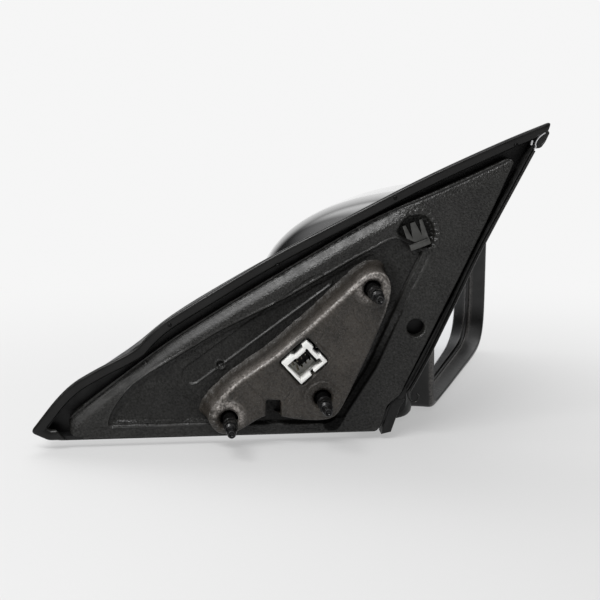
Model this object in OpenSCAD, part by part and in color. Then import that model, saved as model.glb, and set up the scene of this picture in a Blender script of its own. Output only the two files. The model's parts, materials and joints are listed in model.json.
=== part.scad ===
// Right-hand power door mirror: sail base, manual-fold pivot and two-axis glass drive.
// Millimetres. The origin is the centroid of the three mounting studs, on the gasket face that
// meets the door. X runs rearward, Y outboard, away from the door, and Z up.

/* [Base] */
// Thickness of the foam gasket on the sail base
foam_t = 6; // [5.5:0.5:7]
// Depth of the recess inside the gasket
pocket_depth = 4; // [3:0.5:4.5]
// Outboard face of the sail cover
cover_y = 12; // [12:0.5:13]
// Height of the bracket pad above the gasket face
plateau_h = 10; // [9:0.5:11]

/* [Mounting] */
// Major radius of the M6 studs
stud_r = 3; // [2.8:0.1:3.2]
// Reach of the stud tips beyond the gasket face
stud_reach = 35.5; // [30:0.5:38]
// Radius of the locating hole in the gasket
locator_r = 4.8; // [4.2:0.1:5.2]

/* [Pivot] */
// Radius of the fixed foot that carries the head
foot_r = 17; // [16.5:0.1:17.5]
// Radius of the tubular fold shaft
shaft_r = 5; // [4.8:0.1:5.2]
// Radial running clearance on the fold shaft
run_gap = 0.05; // [0.03:0.01:0.08]

/* [Head] */
// Half width of the head at its rim
head_a = 77.5; // [76:0.5:79]
// Half height of the head at its rim
head_b = 63.5; // [62:0.5:65]
// Depth of the head from rim to nose
head_d = 119; // [115:1:123]
// Sweep of the rim plane from straight outboard, in degrees
sweep = 22.5; // [21:0.5:24]
// Wall thickness of the head shells
shell_t = 2.6; // [2.2:0.1:3]

/* [Glass drive] */
// Distance from the glass pivot to each jackscrew
jack_arm = 25; // [24:0.5:26]

/* [Hidden] */
$fn = 40;

// Outlines in the door plane, as X and Z
STUDS = [[34.3, 42.8], [-42.2, -26.4], [7.9, -16.2]];
seal_outline = [[-146.6, -34.5], [-138, -39.5], [37, -39.5], [47, -22], [54.5, -16.6],
    [128.8, 129.4], [102.8, 119.2], [60, 100.1], [21.7, 80.5],
    [-19.1, 60.3], [-71.2, 29.7], [-90.8, 14.8], [-112, 0.7], [-128.9, -8.8]];
cover_outline = [[-143.5, -34], [-134, -39.9], [38.8, -39.9], [48.5, -24], [54.2, -19],
    [123, 117], [125, 125.5], [102.8, 117.2], [60, 98.1], [21.7, 78.5], [-19.1, 58.3], [-71.2, 28.5],
    [-90.8, 14], [-112, -0.5], [-128, -10.5]];
foam_outline = [[-132.5, -30.5], [-131, -37.2], [32.7, -37.2], [36.4, -35.5], [44.4, -21.6],
    [50, -17.4], [94.5, 71.6], [110.6, 108.5], [107.1, 110.2], [80.1, 97.7], [38.9, 80.8],
    [18.2, 69.3], [-46.1, 31.8], [-79.5, 10.8]];
pocket_outline = [[-107.5, -32], [13.5, -33.5], [24.5, -19], [38, 3.2], [49, 31.8], [63.1, 61.6],
    [47.4, 69.4], [25, 57.9], [-11.9, 36.9], [-46.2, 20.6], [-71.4, 5.7], [-84.9, -2.2],
    [-94.6, -9.2], [-101.7, -17.6], [-106.2, -25.3]];
plate_outline = [[-72, -30], [12, -31], [40, -29], [44, -20], [43, 2], [50, 34], [58, 58], [44, 64],
    [23, 54], [-46, 17], [-72, 2]];
arm_root = [[26, -29], [40, -29], [44, -20], [44, -12], [26, -12]];
locator_xz = [59.3, 19.2];
clip_xz = [56.7, 71.7];
clip_tilt = 20;
conn_xz = [-2.2, 4.6];
conn_turn = 41.5;
conn_size = [18.4, 15.7];
conn_wall = 1.7;
pin_xz = [[-72.8, 24.2], [-15.3, 55], [46.7, 90.3], [110.7, 117.4]];
seal_w = 5.8;
pin_r = 1.1;
cover_wall = 2.5;
band_front = -1.5;
band_back = 0.9;
screw_xz = [[-62, -20], [-50, 6], [43, 56]];
pin_grid = [for (i = [0:3], j = [0:1]) [i * 2.8 - 5.6, j * 4 - 2]];
plate_y = [foam_t + 0.1, cover_y - cover_wall - 0.1];
stud_hole_r = 4.5;
thread_y = [-30, -25];
shank_r = 2.75;
point_r = [2.3, 1.4];
pad_t = 1.5;

// Pivot levels
axis_xy = [48, 43];
foot_z = [-41, -7.5];
boss_z = -6;
boss_r = 12;
ring_top = -4.8;
neck_z = -4.6;
retainer_z = 26.2;
neck_r = 17;
neck_top = 42;
well_r = 19.5;
bore_r = 3.2;

// Head frame: u runs outboard along the rim, v up and n out of the opening
rim_xy = [82, 47];
head_zc = 22.5;
corner_gain = 12;
rim_lean = 0.1;
top_drop = 12;
ring_k = 28;
split_n = -34;
plate_n = [-51, -48];
flange_w = 16;
screw_w = 12.5;
screw_turns = [50, 130, 310];

// Glass drive, from the actuator's centre on the rim plane
drive_uv = [75, 20];
pivot_n = -21.5;
case_n = [-47.9, -30];
cover_n = [-30, -28];
case_half = 43;
motor_r = 5;
glass_n = [-12, -10];
glass_w = 10;
mod = 0.9;
wheel_teeth = 16;
wheel_r = wheel_teeth * mod / 2;
worm_r = 3;
worm_off = wheel_r + worm_r + 0.25;
wheel_n = [-38.5, -35.5];
mean_n = (wheel_n[0] + wheel_n[1]) / 2;
jacks = [[0, -jack_arm], [jack_arm, 0]];
screw_spots = [for (g = [45, 135, 225, 315]) 44 * [cos(g), sin(g)]];
ball_r = 2.8;
socket_r = 3.5;

function unit(v) = v / norm(v);
function normal_of(a, b) = let(d = unit(b - a)) [-d[1], d[0]];
// Moves every side of a counter-clockwise outline inwards by d
function inset(p, d) = let(k = len(p)) [for (i = [0:k - 1])
    let(m = normal_of(p[(i + k - 1) % k], p[i]), q = normal_of(p[i], p[(i + 1) % k]))
    p[i] + d * (m + q) / (1 + m * q)];
// Rounds every corner of an outline with a short curve that starts r from the corner
function soft(p, r, steps = 4) = let(k = len(p)) [for (i = [0:k - 1])
    let(a = p[(i + k - 1) % k], b = p[i], c = p[(i + 1) % k],
        s = b + unit(a - b) * min(r, norm(a - b) * 0.45),
        e = b + unit(c - b) * min(r, norm(c - b) * 0.45))
    for (j = [0:steps]) let(t = j / steps) (1 - t) * (1 - t) * s + 2 * t * (1 - t) * b + t * t * e];

// A prism of a door-plane outline between two depths
module slab(y0, y1) {
    translate([0, y1, 0]) rotate([90, 0, 0]) linear_extrude(y1 - y0) children();
}
// A round bar along Y, at a point of the door plane
module bar_y(xz, r, y0, y1, r2 = 0) {
    translate([xz[0], y1, xz[1]]) rotate([90, 0, 0])
        cylinder(r1 = r, r2 = r2 > 0 ? r2 : r, h = y1 - y0);
}
module at_axis() {
    translate([axis_xy[0], axis_xy[1], 0]) children();
}
module post(r, z0, z1) {
    at_axis() translate([0, 0, z0]) cylinder(r = r, h = z1 - z0);
}
// Local frame of the head: x is u, y is v and z is n
module in_head() {
    translate([rim_xy[0], rim_xy[1], 0]) rotate([90, 0, 90 - sweep]) children();
}
module in_drive() {
    in_head() translate([drive_uv[0], drive_uv[1], 0]) children();
}
// A point of the head frame in the part's own axes
function to_part(p) = [rim_xy[0] + p[0] * sin(sweep) + p[2] * cos(sweep),
    rim_xy[1] + p[0] * cos(sweep) - p[2] * sin(sweep), p[1]];

// Closed surface through rings of equal length, given in order along it
module skin(rings) {
    k = len(rings[0]);
    m = len(rings);
    sides = [for (j = [0:m - 2], i = [0:k - 1]) let(a = j * k, b = a + k, h = (i + 1) % k)
        each [[a + i, b + i, b + h], [a + i, b + h, a + h]]];
    first = [for (i = [0:k - 1]) i];
    last = [for (i = [k - 1:-1:0]) (m - 1) * k + i];
    polyhedron(points = [for (r = rings) each r], faces = concat([first], sides, [last]), convexity = 6);
}
// Round cord along a path of points
module cord(path, r, sides = 8) {
    m = len(path);
    skin([for (i = [0:m - 1])
        let(t = unit(path[min(i + 1, m - 1)] - path[max(i - 1, 0)]),
            side = unit(cross(t, [0.05, 0.1, 1])), top = cross(t, side))
        [for (j = [0:sides - 1]) let(g = 360 * j / sides) path[i] + r * (cos(g) * side + sin(g) * top)]]);
}
function bezier(a, b, c, d, steps) = [for (i = [0:steps]) let(t = i / steps, s = 1 - t)
    s * s * s * a + 3 * s * s * t * b + 3 * s * t * t * c + t * t * t * d];

// Head form: a rounded rectangle at the rim that closes to a full, off-centre nose
function fullness(s, p) = sqrt(max(0, 1 - pow(s, p)));
function signed_pow(x, e) = sign(x) * pow(abs(x), e);
function crisp(turn) = turn > 180 && turn < 270 ? corner_gain * sin(2 * turn) : 0;
function head_point(n, w, turn) =
    let(s = max(0, -n / (head_d - w)), a = (head_a - w) * fullness(s, 3),
        b = (head_b - w) * fullness(s, 3.2), e = 2 / (6 + crisp(turn) * (1 - s) - 3.4 * s),
        x = signed_pow(cos(turn), e), y = signed_pow(sin(turn), e),
        drop = top_drop * (1 + y) / 2 * (1 + x) / 2 * (1 - s))
    [head_a - 42 * pow(s, 1.4) + a * x - rim_lean * b * (1 + y) * (1 - x) / 2,
        head_zc - 12 * pow(s, 1.3) + b * y - drop, n];
function head_ring(n, w) = [for (i = [0:ring_k - 1]) head_point(n, w, 360 * (i + 0.5) / ring_k)];
module head_loft(stations) {
    in_head() skin([for (q = stations) head_ring(q[0], q[1])]);
}
// Depth stations from the nose to the split, closer together near the nose
function nose_stations(w, end_n, steps) = [for (i = [0:steps])
    let(s = sin(88.6 - i * (88.6 - asin(-end_n / (head_d - w))) / steps)) [-s * (head_d - w), w]];
module pivot_well() {
    difference() {
        post(well_r + 2, -50, boss_z + 3);
        post(well_r, -60, neck_z - 0.4);
        post(neck_r + 0.3, -60, 60);
    }
}
module pivot_cut() {
    post(well_r, -60, neck_z - 0.4);
    post(neck_r + 0.3, -60, neck_top + 1);
    frame_arm(0.6);
}

harness_path = bezier([axis_xy[0], axis_xy[1], 30.2], [axis_xy[0] + 1, axis_xy[1] + 1, 40],
    to_part([2, 34, -40]), to_part([26, 34, -41]), 14);

// Sail base
module plateau_leg(a, b, grow, top, y0) {
    hull() {
        for (q = [a, b]) {
            bar_y([q[0] - 1.5, q[1] + 2], q[2] + 3.6 + grow, y0 - 0.1, y0);
            bar_y([q[0], q[1]], q[2] + grow, top, top + 0.1);
        }
    }
}
module plateau(grow, top, y0) {
    tr = [STUDS[0][0], STUDS[0][1], 9.8];
    bl = [STUDS[1][0] - 1.8, STUDS[1][1] + 0.9, 9.2];
    br = [STUDS[2][0] - 1.9, STUDS[2][1] - 0.8, 11];
    plateau_leg(tr, bl, grow, top, y0);
    plateau_leg(tr, br, grow, top, y0);
    plateau_leg([-29, -16, 7], [-4, -17.5, 7], grow, top, y0);
}
module connector_cut(grow, y0, y1) {
    slab(y0, y1) translate(conn_xz) rotate(conn_turn) square(conn_size + [grow, grow] * 2, center = true);
}
module pad_notch() {
    slab(-plateau_h - 1, foam_t) translate([-18.6, -23]) square([8, 14], center = true);
}
module base_bracket() {
    color("silver") difference() {
        union() {
            difference() {
                plateau(-pad_t, -plateau_h + pad_t, plate_y[0] + 0.1);
                slab(-plateau_h + 7, 20) polygon([[-36, -18], [4, -10], [28, 34]]);
            }
            slab(plate_y[0], plate_y[1]) polygon(plate_outline);
            hull() {
                post(boss_r, foot_z[0] + 4, foot_z[1] - 3);
                slab(plate_y[0], plate_y[1]) polygon(arm_root);
            }
            post(boss_r, foot_z[1] - 4, boss_z);
        }
        for (p = STUDS) bar_y(p, shank_r, -20, 20);
        connector_cut(0.4, -20, 20);
        pad_notch();
        post(shaft_r, -22, 0);
        post(bore_r, -26, 0);
        for (p = screw_xz) {
            bar_y(p, 1.6, 0, 20);
            bar_y(p, 3.4, 0, plate_y[0] + 1.8);
        }
    }
}
module bracket_pad() {
    color("dimgray") difference() {
        plateau(0, -plateau_h, foam_t - 2.2);
        plateau(-pad_t, -plateau_h + pad_t, plate_y[0] + 0.1);
        for (p = STUDS) {
            bar_y(p, stud_hole_r, -20, 20);
            bar_y(p, 9.6, -plateau_h - 1, -plateau_h + 0.4);
        }
        connector_cut(1.2, -20, 20);
        pad_notch();
    }
}
module foam_gasket() {
    color([0.16, 0.16, 0.16]) difference() {
        slab(0, foam_t) polygon(soft(foam_outline, 2.5, 3));
        slab(-1, pocket_depth) polygon(soft(pocket_outline, 3, 3));
        plateau(0.5, -plateau_h - 1, foam_t - 2.2);
        plateau(-pad_t + 0.5, -plateau_h, foam_t + 0.2);
        bar_y(locator_xz, locator_r, -1, foam_t + 1);
        slab(-1, 5) translate(clip_xz) rotate(clip_tilt) square([17, 17], center = true);
        pad_notch();
        connector_cut(2.4, -20, 20);
    }
}
module pedestal(grow) {
    hull() {
        post(foot_r + grow, foot_z[0] - grow, foot_z[1] + grow);
        slab(cover_y - 1 + grow, cover_y - (grow < 0 ? -0.6 : 0.1))
            translate([36, -20.5]) square([28 + grow * 2, 26 + grow * 2], center = true);
    }
}
module sail_cover() {
    color([0.08, 0.08, 0.08]) difference() {
        union() {
            slab(band_back + 0.1, cover_y - 3) polygon(cover_outline);
            slab(cover_y - 3, cover_y - 1.2) polygon(inset(cover_outline, 1));
            slab(cover_y - 1.2, cover_y) polygon(inset(cover_outline, 2.6));
            pedestal(0);
        }
        slab(-1, cover_y - cover_wall) polygon(inset(cover_outline, cover_wall));
        pedestal(-cover_wall);
        post(boss_r + 0.3, foot_z[1] - 5, 0);
        for (p = screw_xz) bar_y(p, 1.6, 0, cover_y - 0.8);
    }
}
module door_seal() {
    color([0.12, 0.12, 0.12]) difference() {
        slab(band_front, band_back) polygon(soft(seal_outline, 2, 2));
        slab(-10, 10) polygon(inset(seal_outline, seal_w));
        slab(-10, 10) polygon([[-133.2, -60], [150, -60], [150, 140], [127, 127], [112, 113], [34, -33],
            [-133.2, -33]]);
        for (p = pin_xz) bar_y(p, pin_r, -10, 10);
    }
}
module window_seal() {
    color([0.1, 0.1, 0.1]) difference() {
        slab(band_front, cover_y - 4) polygon([[50.6, -23], [54.4, -21], [57.6, -15.5], [126.2, 117.5],
            [124, 118.4], [120.6, 113.4], [53.6, -16.6]]);
        slab(band_back, cover_y) polygon(inset(cover_outline, -0.1));
        slab(band_front - 1, band_back - 1) polygon([[52.4, -14], [121.6, 118], [120, 119], [50, -13]]);
    }
}
module seal_pins() {
    color([0.2, 0.2, 0.2]) for (p = pin_xz) {
        bar_y(p, pin_r, band_front - 0.3, band_back);
        bar_y(p, pin_r * 0.5, band_front - 0.8, band_front - 0.3, pin_r);
    }
}
module seal_end_clip() {
    color("silver") slab(band_front - 0.6, band_front)
        polygon(soft([[116, 112.5], [120.5, 110.5], [126.4, 121.4], [125, 125.4], [121.4, 122.4]], 1.2, 3));
}

// Mounting and connector
module mounting_studs() {
    color([0.25, 0.25, 0.27]) for (p = STUDS) {
        bar_y(p, shank_r, thread_y[1], plate_y[1]);
        bar_y(p, stud_r, thread_y[0], thread_y[1]);
        bar_y(p, point_r[0], -stud_reach + 1.2, thread_y[0]);
        bar_y(p, point_r[1], -stud_reach, -stud_reach + 1.2, point_r[0]);
    }
}
module stud_collars() {
    color([0.1, 0.1, 0.1]) for (p = STUDS) difference() {
        union() {
            bar_y(p, 4.3, -24.4, -14.5);
            bar_y(p, 4.8, -19, -16.4);
        }
        bar_y(p, shank_r, -40, 0);
    }
}
module connector_housing() {
    in_plane = [conn_xz[0], 0, conn_xz[1]];
    color([0.93, 0.93, 0.9]) difference() {
        slab(-plateau_h - 1.6, plate_y[1]) translate(conn_xz) rotate(conn_turn) difference() {
            square(conn_size, center = true);
            translate([-conn_size[0] * 0.12, conn_size[1] / 2]) square([5, 1.6], center = true);
            translate([conn_size[0] / 2, 1]) square([1.4, 5.4], center = true);
        }
        slab(-20, plate_y[0] - 6) translate(conn_xz) rotate(conn_turn) difference() {
            square(conn_size - [conn_wall, conn_wall] * 2, center = true);
            translate([conn_size[0] / 2 - 2.4, 1]) square([2.4, 7], center = true);
        }
        slab(-20, -plateau_h + 4) translate(conn_xz) rotate(conn_turn)
            translate([conn_size[0] * 0.18, -conn_size[1] / 2]) square([2.6, 5], center = true);
        for (q = pin_grid) translate(in_plane) rotate([0, -conn_turn, 0])
            translate([q[0] - 0.5, -20, q[1] - 0.5]) cube([1, 50, 1]);
    }
}
module connector_pins() {
    color([0.75, 0.7, 0.6]) translate([conn_xz[0], 0, conn_xz[1]]) rotate([0, -conn_turn, 0])
        for (q = pin_grid) translate([q[0] - 0.5, -plateau_h + 2, q[1] - 0.5]) cube([1, plateau_h + 4, 1]);
}
module retaining_clip() {
    color([0.35, 0.35, 0.34]) {
        slab(1.2, 2) translate(clip_xz) rotate(clip_tilt) difference() {
            translate([-5.5, -6]) square([11, 12]);
            polygon([[-3.6, 7], [-1, 7], [-2.3, -1]]);
            polygon([[1, 7], [3.6, 7], [2.3, -1]]);
        }
        slab(-1, 1.2) translate(clip_xz) rotate(clip_tilt) translate([-5.5, -6]) square([11, 0.8]);
        slab(-1, -0.2) translate(clip_xz) rotate(clip_tilt) translate([-5.5, -5.2]) square([11, 2.6]);
        slab(2, 5) translate(clip_xz) rotate(clip_tilt) translate([-2, 2]) square([4, 1.2]);
    }
}
module cover_screws() {
    color("gray") for (p = screw_xz) {
        bar_y(p, 1.6, plate_y[0] + 1.8, cover_y - 0.8);
        difference() {
            bar_y(p, 3.3, plate_y[0] + 0.2, plate_y[0] + 1.8);
            slab(0, plate_y[0] + 1.2) translate(p) square([3.6, 0.8], center = true);
            slab(0, plate_y[0] + 1.2) translate(p) square([0.8, 3.6], center = true);
        }
    }
}

// Pivot
module door_harness() {
    color([0.1, 0.1, 0.1]) {
        at_axis() translate([0, 0, -24]) cylinder(r = 2.4, h = 44);
    }
}
module pivot_shaft() {
    color("silver") difference() {
        union() {
            post(shaft_r, -22, 28);
            post(shaft_r + 1.5, 28, 29);
        }
        post(bore_r, -23, 30);
    }
}
module spring_retainer() {
    color("silver") difference() {
        post(9, retainer_z, 28);
        post(shaft_r, 20, 30);
    }
}
module detent_ring() {
    color([0.85, 0.83, 0.75]) {
        difference() {
            post(11.5, boss_z, ring_top);
            post(shaft_r + 0.5, -10, 0);
        }
        for (g = [30, 150, 270]) at_axis() rotate(g) translate([9, 0, ring_top - 0.1])
            cylinder(r1 = 1.6, r2 = 0.8, h = 1);
    }
}
module pivot_gasket() {
    color([0.15, 0.15, 0.15]) difference() {
        post(foot_r - 0.2, foot_z[1], boss_z + 0.6);
        post(boss_r + 0.6, -20, 0);
    }
}

// Head structure
function mount_point(turn, n) = let(p = head_point(n, screw_w, turn)) [p[0], p[1]];
module frame_arm(grow) {
    hull() {
        post(9 + grow, -1.5 - grow, 12 + grow);
        in_head() translate([8, -1.5 - grow, plate_n[0] - grow])
            cube([18, 13.5 + grow * 2, plate_n[1] - plate_n[0] + grow * 2]);
    }
}
module head_frame() {
    color([0.12, 0.12, 0.13]) difference() {
        union() {
            difference() {
                head_loft([[plate_n[0], 4.2], [plate_n[1], 4.2]]);
                in_head() for (c = [[30, 58, 12], [112, 50, 10], [112, -12, 10], [40, -16, 9]])
                    translate([c[0], c[1], plate_n[0] - 1]) cylinder(r = c[2], h = 6);
                post(well_r + 2.6, -60, boss_z + 3.4);
            }
            frame_arm(0);
            post(boss_r, neck_z, 2);
            post(9, 0, 12);
            in_head() for (g = screw_turns) translate(concat(mount_point(g, split_n), plate_n[1] - 1))
                cylinder(r = 3, h = split_n - plate_n[1] + 0.8);
        }
        post(shaft_r + run_gap, -20, 60);
        difference() {
            post(11.2, neck_z - 1, neck_z + 1.4);
            post(6.6, neck_z - 2, neck_z + 2);
        }
        post(neck_r, 12, 60);
        in_head() for (g = screw_turns) translate(concat(mount_point(g, split_n), split_n - 10))
            cylinder(r = 1.5, h = 20);
        in_drive() for (g = [45, 135, 225, 315]) rotate(g) translate([44, 0, plate_n[0] - 1])
            cylinder(r = 1.6, h = 6);
    }
}
module head_shell() {
    color([0.05, 0.05, 0.06]) difference() {
        union() {
            difference() {
                head_loft(nose_stations(0, split_n - 0.2, 9));
                head_loft(concat(nose_stations(shell_t, split_n - 0.2, 9), [[split_n + 1, shell_t]]));
            }
            intersection() {
                head_loft(nose_stations(0.8, split_n - 0.2, 5));
                pivot_well();
            }
        }
        pivot_cut();
    }
}
module bezel() {
    color([0.1, 0.1, 0.1]) difference() {
        union() {
            difference() {
                head_loft([[split_n, 0], [-22, 0], [-11, 0], [-2, 0], [0, 1]]);
                head_loft([[split_n + 2, shell_t], [-11, shell_t]]);
                head_loft([[split_n - 1, flange_w], [split_n + 3, flange_w]]);
                head_loft([[-12, 6.3], [-9, 6.3], [0.2, 3.6], [1, 3.6]]);
            }
            intersection() {
                head_loft([[split_n, 0.8], [-22, 0.8], [-11, 0.8], [-2, 0.8]]);
                pivot_well();
            }
        }
        pivot_cut();
        in_head() for (g = screw_turns) translate(concat(mount_point(g, split_n), split_n)) {
            translate([0, 0, -1]) cylinder(r = 1.7, h = 5);
            translate([0, 0, 1]) cylinder(r = 3.2, h = 5);
        }
        in_drive() case_block(case_half + 0.6, split_n - 1, split_n + 4);
    }
}
module bezel_screws() {
    color("gray") in_head() for (g = screw_turns) translate(concat(mount_point(g, split_n), split_n)) {
        translate([0, 0, -9]) cylinder(r = 1.5, h = 10);
        difference() {
            translate([0, 0, 1]) cylinder(r = 3, h = 1.4);
            translate([-1.8, -0.4, 1.8]) cube([3.6, 0.8, 2]);
            translate([-0.4, -1.8, 1.8]) cube([0.8, 3.6, 2]);
        }
    }
}
module neck_cover() {
    wall = 2.4;
    profile = [[0, neck_top - wall], [10, neck_top - wall - 1], [neck_r - 4, neck_top - 6],
        [neck_r - wall, neck_top - 11], [neck_r - wall, neck_z - 0.1], [neck_r, neck_z - 0.1],
        [neck_r, neck_top - 9], [neck_r - 2, neck_top - 4], [neck_r - 6, neck_top - 1], [0, neck_top]];
    color([0.1, 0.1, 0.1]) difference() {
        at_axis() rotate_extrude() polygon(profile);
        in_head() translate([-14, -2.6, -60]) cube([35, 16, 44]);
        cord(harness_path, 2.6);
    }
}
module fold_spring() {
    turns = 4.5;
    steps = 14;
    wire = 0.9;
    lift = retainer_z - 12 - wire * 2 - 0.3;
    path = [for (i = [0:turns * steps]) let(g = 360 * i / steps, t = i / (turns * steps))
        [axis_xy[0] + 7.4 * cos(g), axis_xy[1] + 7.4 * sin(g), 12.1 + wire + lift * t]];
    color("silver") cord(path, wire, 6);
}

// Glass drive
function case_outline(half) = [for (i = [0:31]) let(g = 360 * (i + 0.5) / 32)
    half * [signed_pow(cos(g), 0.36), signed_pow(sin(g), 0.36)]];
module case_block(half, n0, n1) {
    translate([0, 0, n0]) linear_extrude(n1 - n0) polygon(case_outline(half));
}
module rod(uv, r, n0, n1) {
    translate([uv[0], uv[1], n0]) cylinder(r = r, h = n1 - n0);
}
module worm_space(r, from, to) {
    translate([from, -jack_arm - worm_off, mean_n]) rotate([0, 90, 0]) cylinder(r = r, h = to - from);
}
// The pan train is the tilt train turned a quarter turn about the glass axis
module for_pan() {
    rotate([0, 0, 90]) children();
}
module actuator_case() {
    color([0.2, 0.2, 0.2]) in_drive() difference() {
        case_block(case_half, case_n[0], case_n[1]);
        translate([0, 0, case_n[0] + 1.8]) linear_extrude(30) difference() {
            polygon(case_outline(case_half - 1.8));
            for (p = screw_spots) translate(p) circle(r = 4);
        }
        for (p = screw_spots) rod(p, 1.6, case_n[0] - 1, 0);
        for (p = jacks) rod(p, 3.3, case_n[0] - 1, 0);
    }
}
module actuator_cover() {
    color([0.22, 0.22, 0.22]) in_drive() difference() {
        union() {
            case_block(case_half, cover_n[0], cover_n[1]);
            for (m = [1, -1]) translate([m * 16.75 - 1.5, -3, cover_n[1] - 0.5])
                cube([3, 6, pivot_n - cover_n[1] + 3.1]);
        }
        for (p = screw_spots) rod(p, 1.6, -60, 0);
        for (p = jacks) rod(p, 3.3, -60, 0);
        translate([-30, 0, pivot_n]) rotate([0, 90, 0]) cylinder(r = 1.5 + run_gap, h = 60);
    }
}
module actuator_screws() {
    color("gray") in_drive() for (p = screw_spots) {
        rod(p, 1.6, plate_n[0] - 1, cover_n[1]);
        difference() {
            rod(p, 3, cover_n[1], cover_n[1] + 1.4);
            translate([p[0] - 1.8, p[1] - 0.4, cover_n[1] + 0.6]) cube([3.6, 0.8, 2]);
        }
    }
}
module motor_tilt() {
    color("silver") in_drive() worm_space(motor_r, -27, -11);
}
module motor_pan() {
    color("silver") in_drive() for_pan() worm_space(motor_r, -27, -11);
}
module head_harness() {
    color([0.1, 0.1, 0.1]) difference() {
        cord(harness_path, 2);
        in_drive() case_block(case_half, case_n[0], case_n[1]);
    }
}
module pivot_ring() {
    color([0.85, 0.85, 0.82]) in_drive() difference() {
        union() {
            rod([0, 0], 12.6, pivot_n - 2.2, pivot_n + 2.2);
            translate([-18, 0, pivot_n]) rotate([0, 90, 0]) cylinder(r = 1.5, h = 36);
        }
        rod([0, 0], 9.6, -40, 0);
        translate([0, 30, pivot_n]) rotate([90, 0, 0]) cylinder(r = 1.5 + run_gap, h = 60);
    }
}
module glass_carrier() {
    back = -15.1;
    color([0.15, 0.15, 0.15]) {
        head_loft([[back, glass_w + 1], [-12.7, glass_w + 1]]);
        in_drive() {
            for (m = [1, -1]) {
                translate([-3, m * 16.6 - 1.5, pivot_n - 2.2]) cube([6, 3, back - pivot_n + 2.3]);
                translate([0, m * 13.6 + 3.2, pivot_n]) rotate([90, 0, 0]) cylinder(r = 1.5, h = 6.4);
            }
            for (p = jacks) difference() {
                rod(p, 5, pivot_n - 2, back + 0.1);
                translate([p[0], p[1], pivot_n]) sphere(r = socket_r);
            }
        }
    }
}
module heater_pad() {
    color([0.3, 0.2, 0.1]) head_loft([[-12.6, glass_w + 3], [-12.05, glass_w + 3]]);
}
module mirror_glass() {
    color([0.8, 0.85, 0.9]) head_loft([[glass_n[0], glass_w], [glass_n[1] - 0.4, glass_w],
        [glass_n[1], glass_w + 0.5]]);
}
module jack(p) {
    translate([p[0], p[1], pivot_n]) sphere(r = ball_r);
    rod(p, 1.4, pivot_n - 5, pivot_n);
    rod(p, 3, -41.5, pivot_n - 4.6);
}
module jack_tilt() {
    color([0.9, 0.9, 0.88]) in_drive() jack(jacks[0]);
}
module jack_pan() {
    color([0.9, 0.9, 0.88]) in_drive() jack(jacks[1]);
}
function polar(r, g) = r * [cos(g), sin(g)];
module wheel() {
    pitch = 360 / wheel_teeth;
    ra = wheel_r + mod * 0.9;
    rf = wheel_r - mod * 1.15;
    difference() {
        union() {
            rod([0, 0], 4.6, wheel_n[0] - 3, wheel_n[1] + 4.6);
            translate([0, 0, wheel_n[0]]) linear_extrude(wheel_n[1] - wheel_n[0]) polygon([
                for (i = [0:wheel_teeth - 1]) let(g = -90 + pitch * (i + 0.5))
                    each [polar(rf, g - pitch * 0.24), polar(ra, g - pitch * 0.11),
                        polar(ra, g + pitch * 0.11), polar(rf, g + pitch * 0.24)]]);
        }
        rod([0, 0], 3 + run_gap * 2, -60, 0);
    }
}
module gear_tilt() {
    color("white") in_drive() translate([0, -jack_arm, 0]) wheel();
}
module gear_pan() {
    color("white") in_drive() for_pan() translate([0, -jack_arm, 0]) wheel();
}
// Single-start worm along x, whose ridge faces the wheel's gap at its middle
module worm() {
    lead = PI * mod;
    ends = 2;
    steps = 16;
    half = ends * steps;
    translate([0, -jack_arm - worm_off, mean_n]) {
        rotate([0, 90, 0]) translate([0, 0, -10.9]) cylinder(r = worm_r - mod * 1.1, h = 21.8);
        skin([for (i = [-half:half]) let(g = 360 * i / steps, x = lead * i / steps,
                d = [0, cos(g), sin(g)], inner = d * (worm_r - mod * 1.3), outer = d * (worm_r + mod * 0.8))
            [inner + [x - 0.62, 0, 0], inner + [x + 0.62, 0, 0], outer + [x + 0.22, 0, 0],
                outer + [x - 0.22, 0, 0]]]);
    }
}
module worm_tilt() {
    color([0.8, 0.7, 0.35]) in_drive() worm();
}
module worm_pan() {
    color([0.8, 0.7, 0.35]) in_drive() for_pan() worm();
}

base_bracket();
bracket_pad();
foam_gasket();
sail_cover();
door_seal();
window_seal();
seal_pins();
seal_end_clip();
mounting_studs();
stud_collars();
connector_housing();
connector_pins();
retaining_clip();
cover_screws();
door_harness();
pivot_shaft();
spring_retainer();
detent_ring();
pivot_gasket();
head_frame();
head_shell();
bezel();
neck_cover();
fold_spring();
bezel_screws();
actuator_case();
actuator_cover();
actuator_screws();
motor_tilt();
motor_pan();
head_harness();
pivot_ring();
glass_carrier();
heater_pad();
mirror_glass();
jack_tilt();
jack_pan();
gear_tilt();
gear_pan();
worm_tilt();
worm_pan();
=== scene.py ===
"""Looks for the car door mirror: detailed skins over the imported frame, in the same axes."""

import json
import math
from functools import partial

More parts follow.
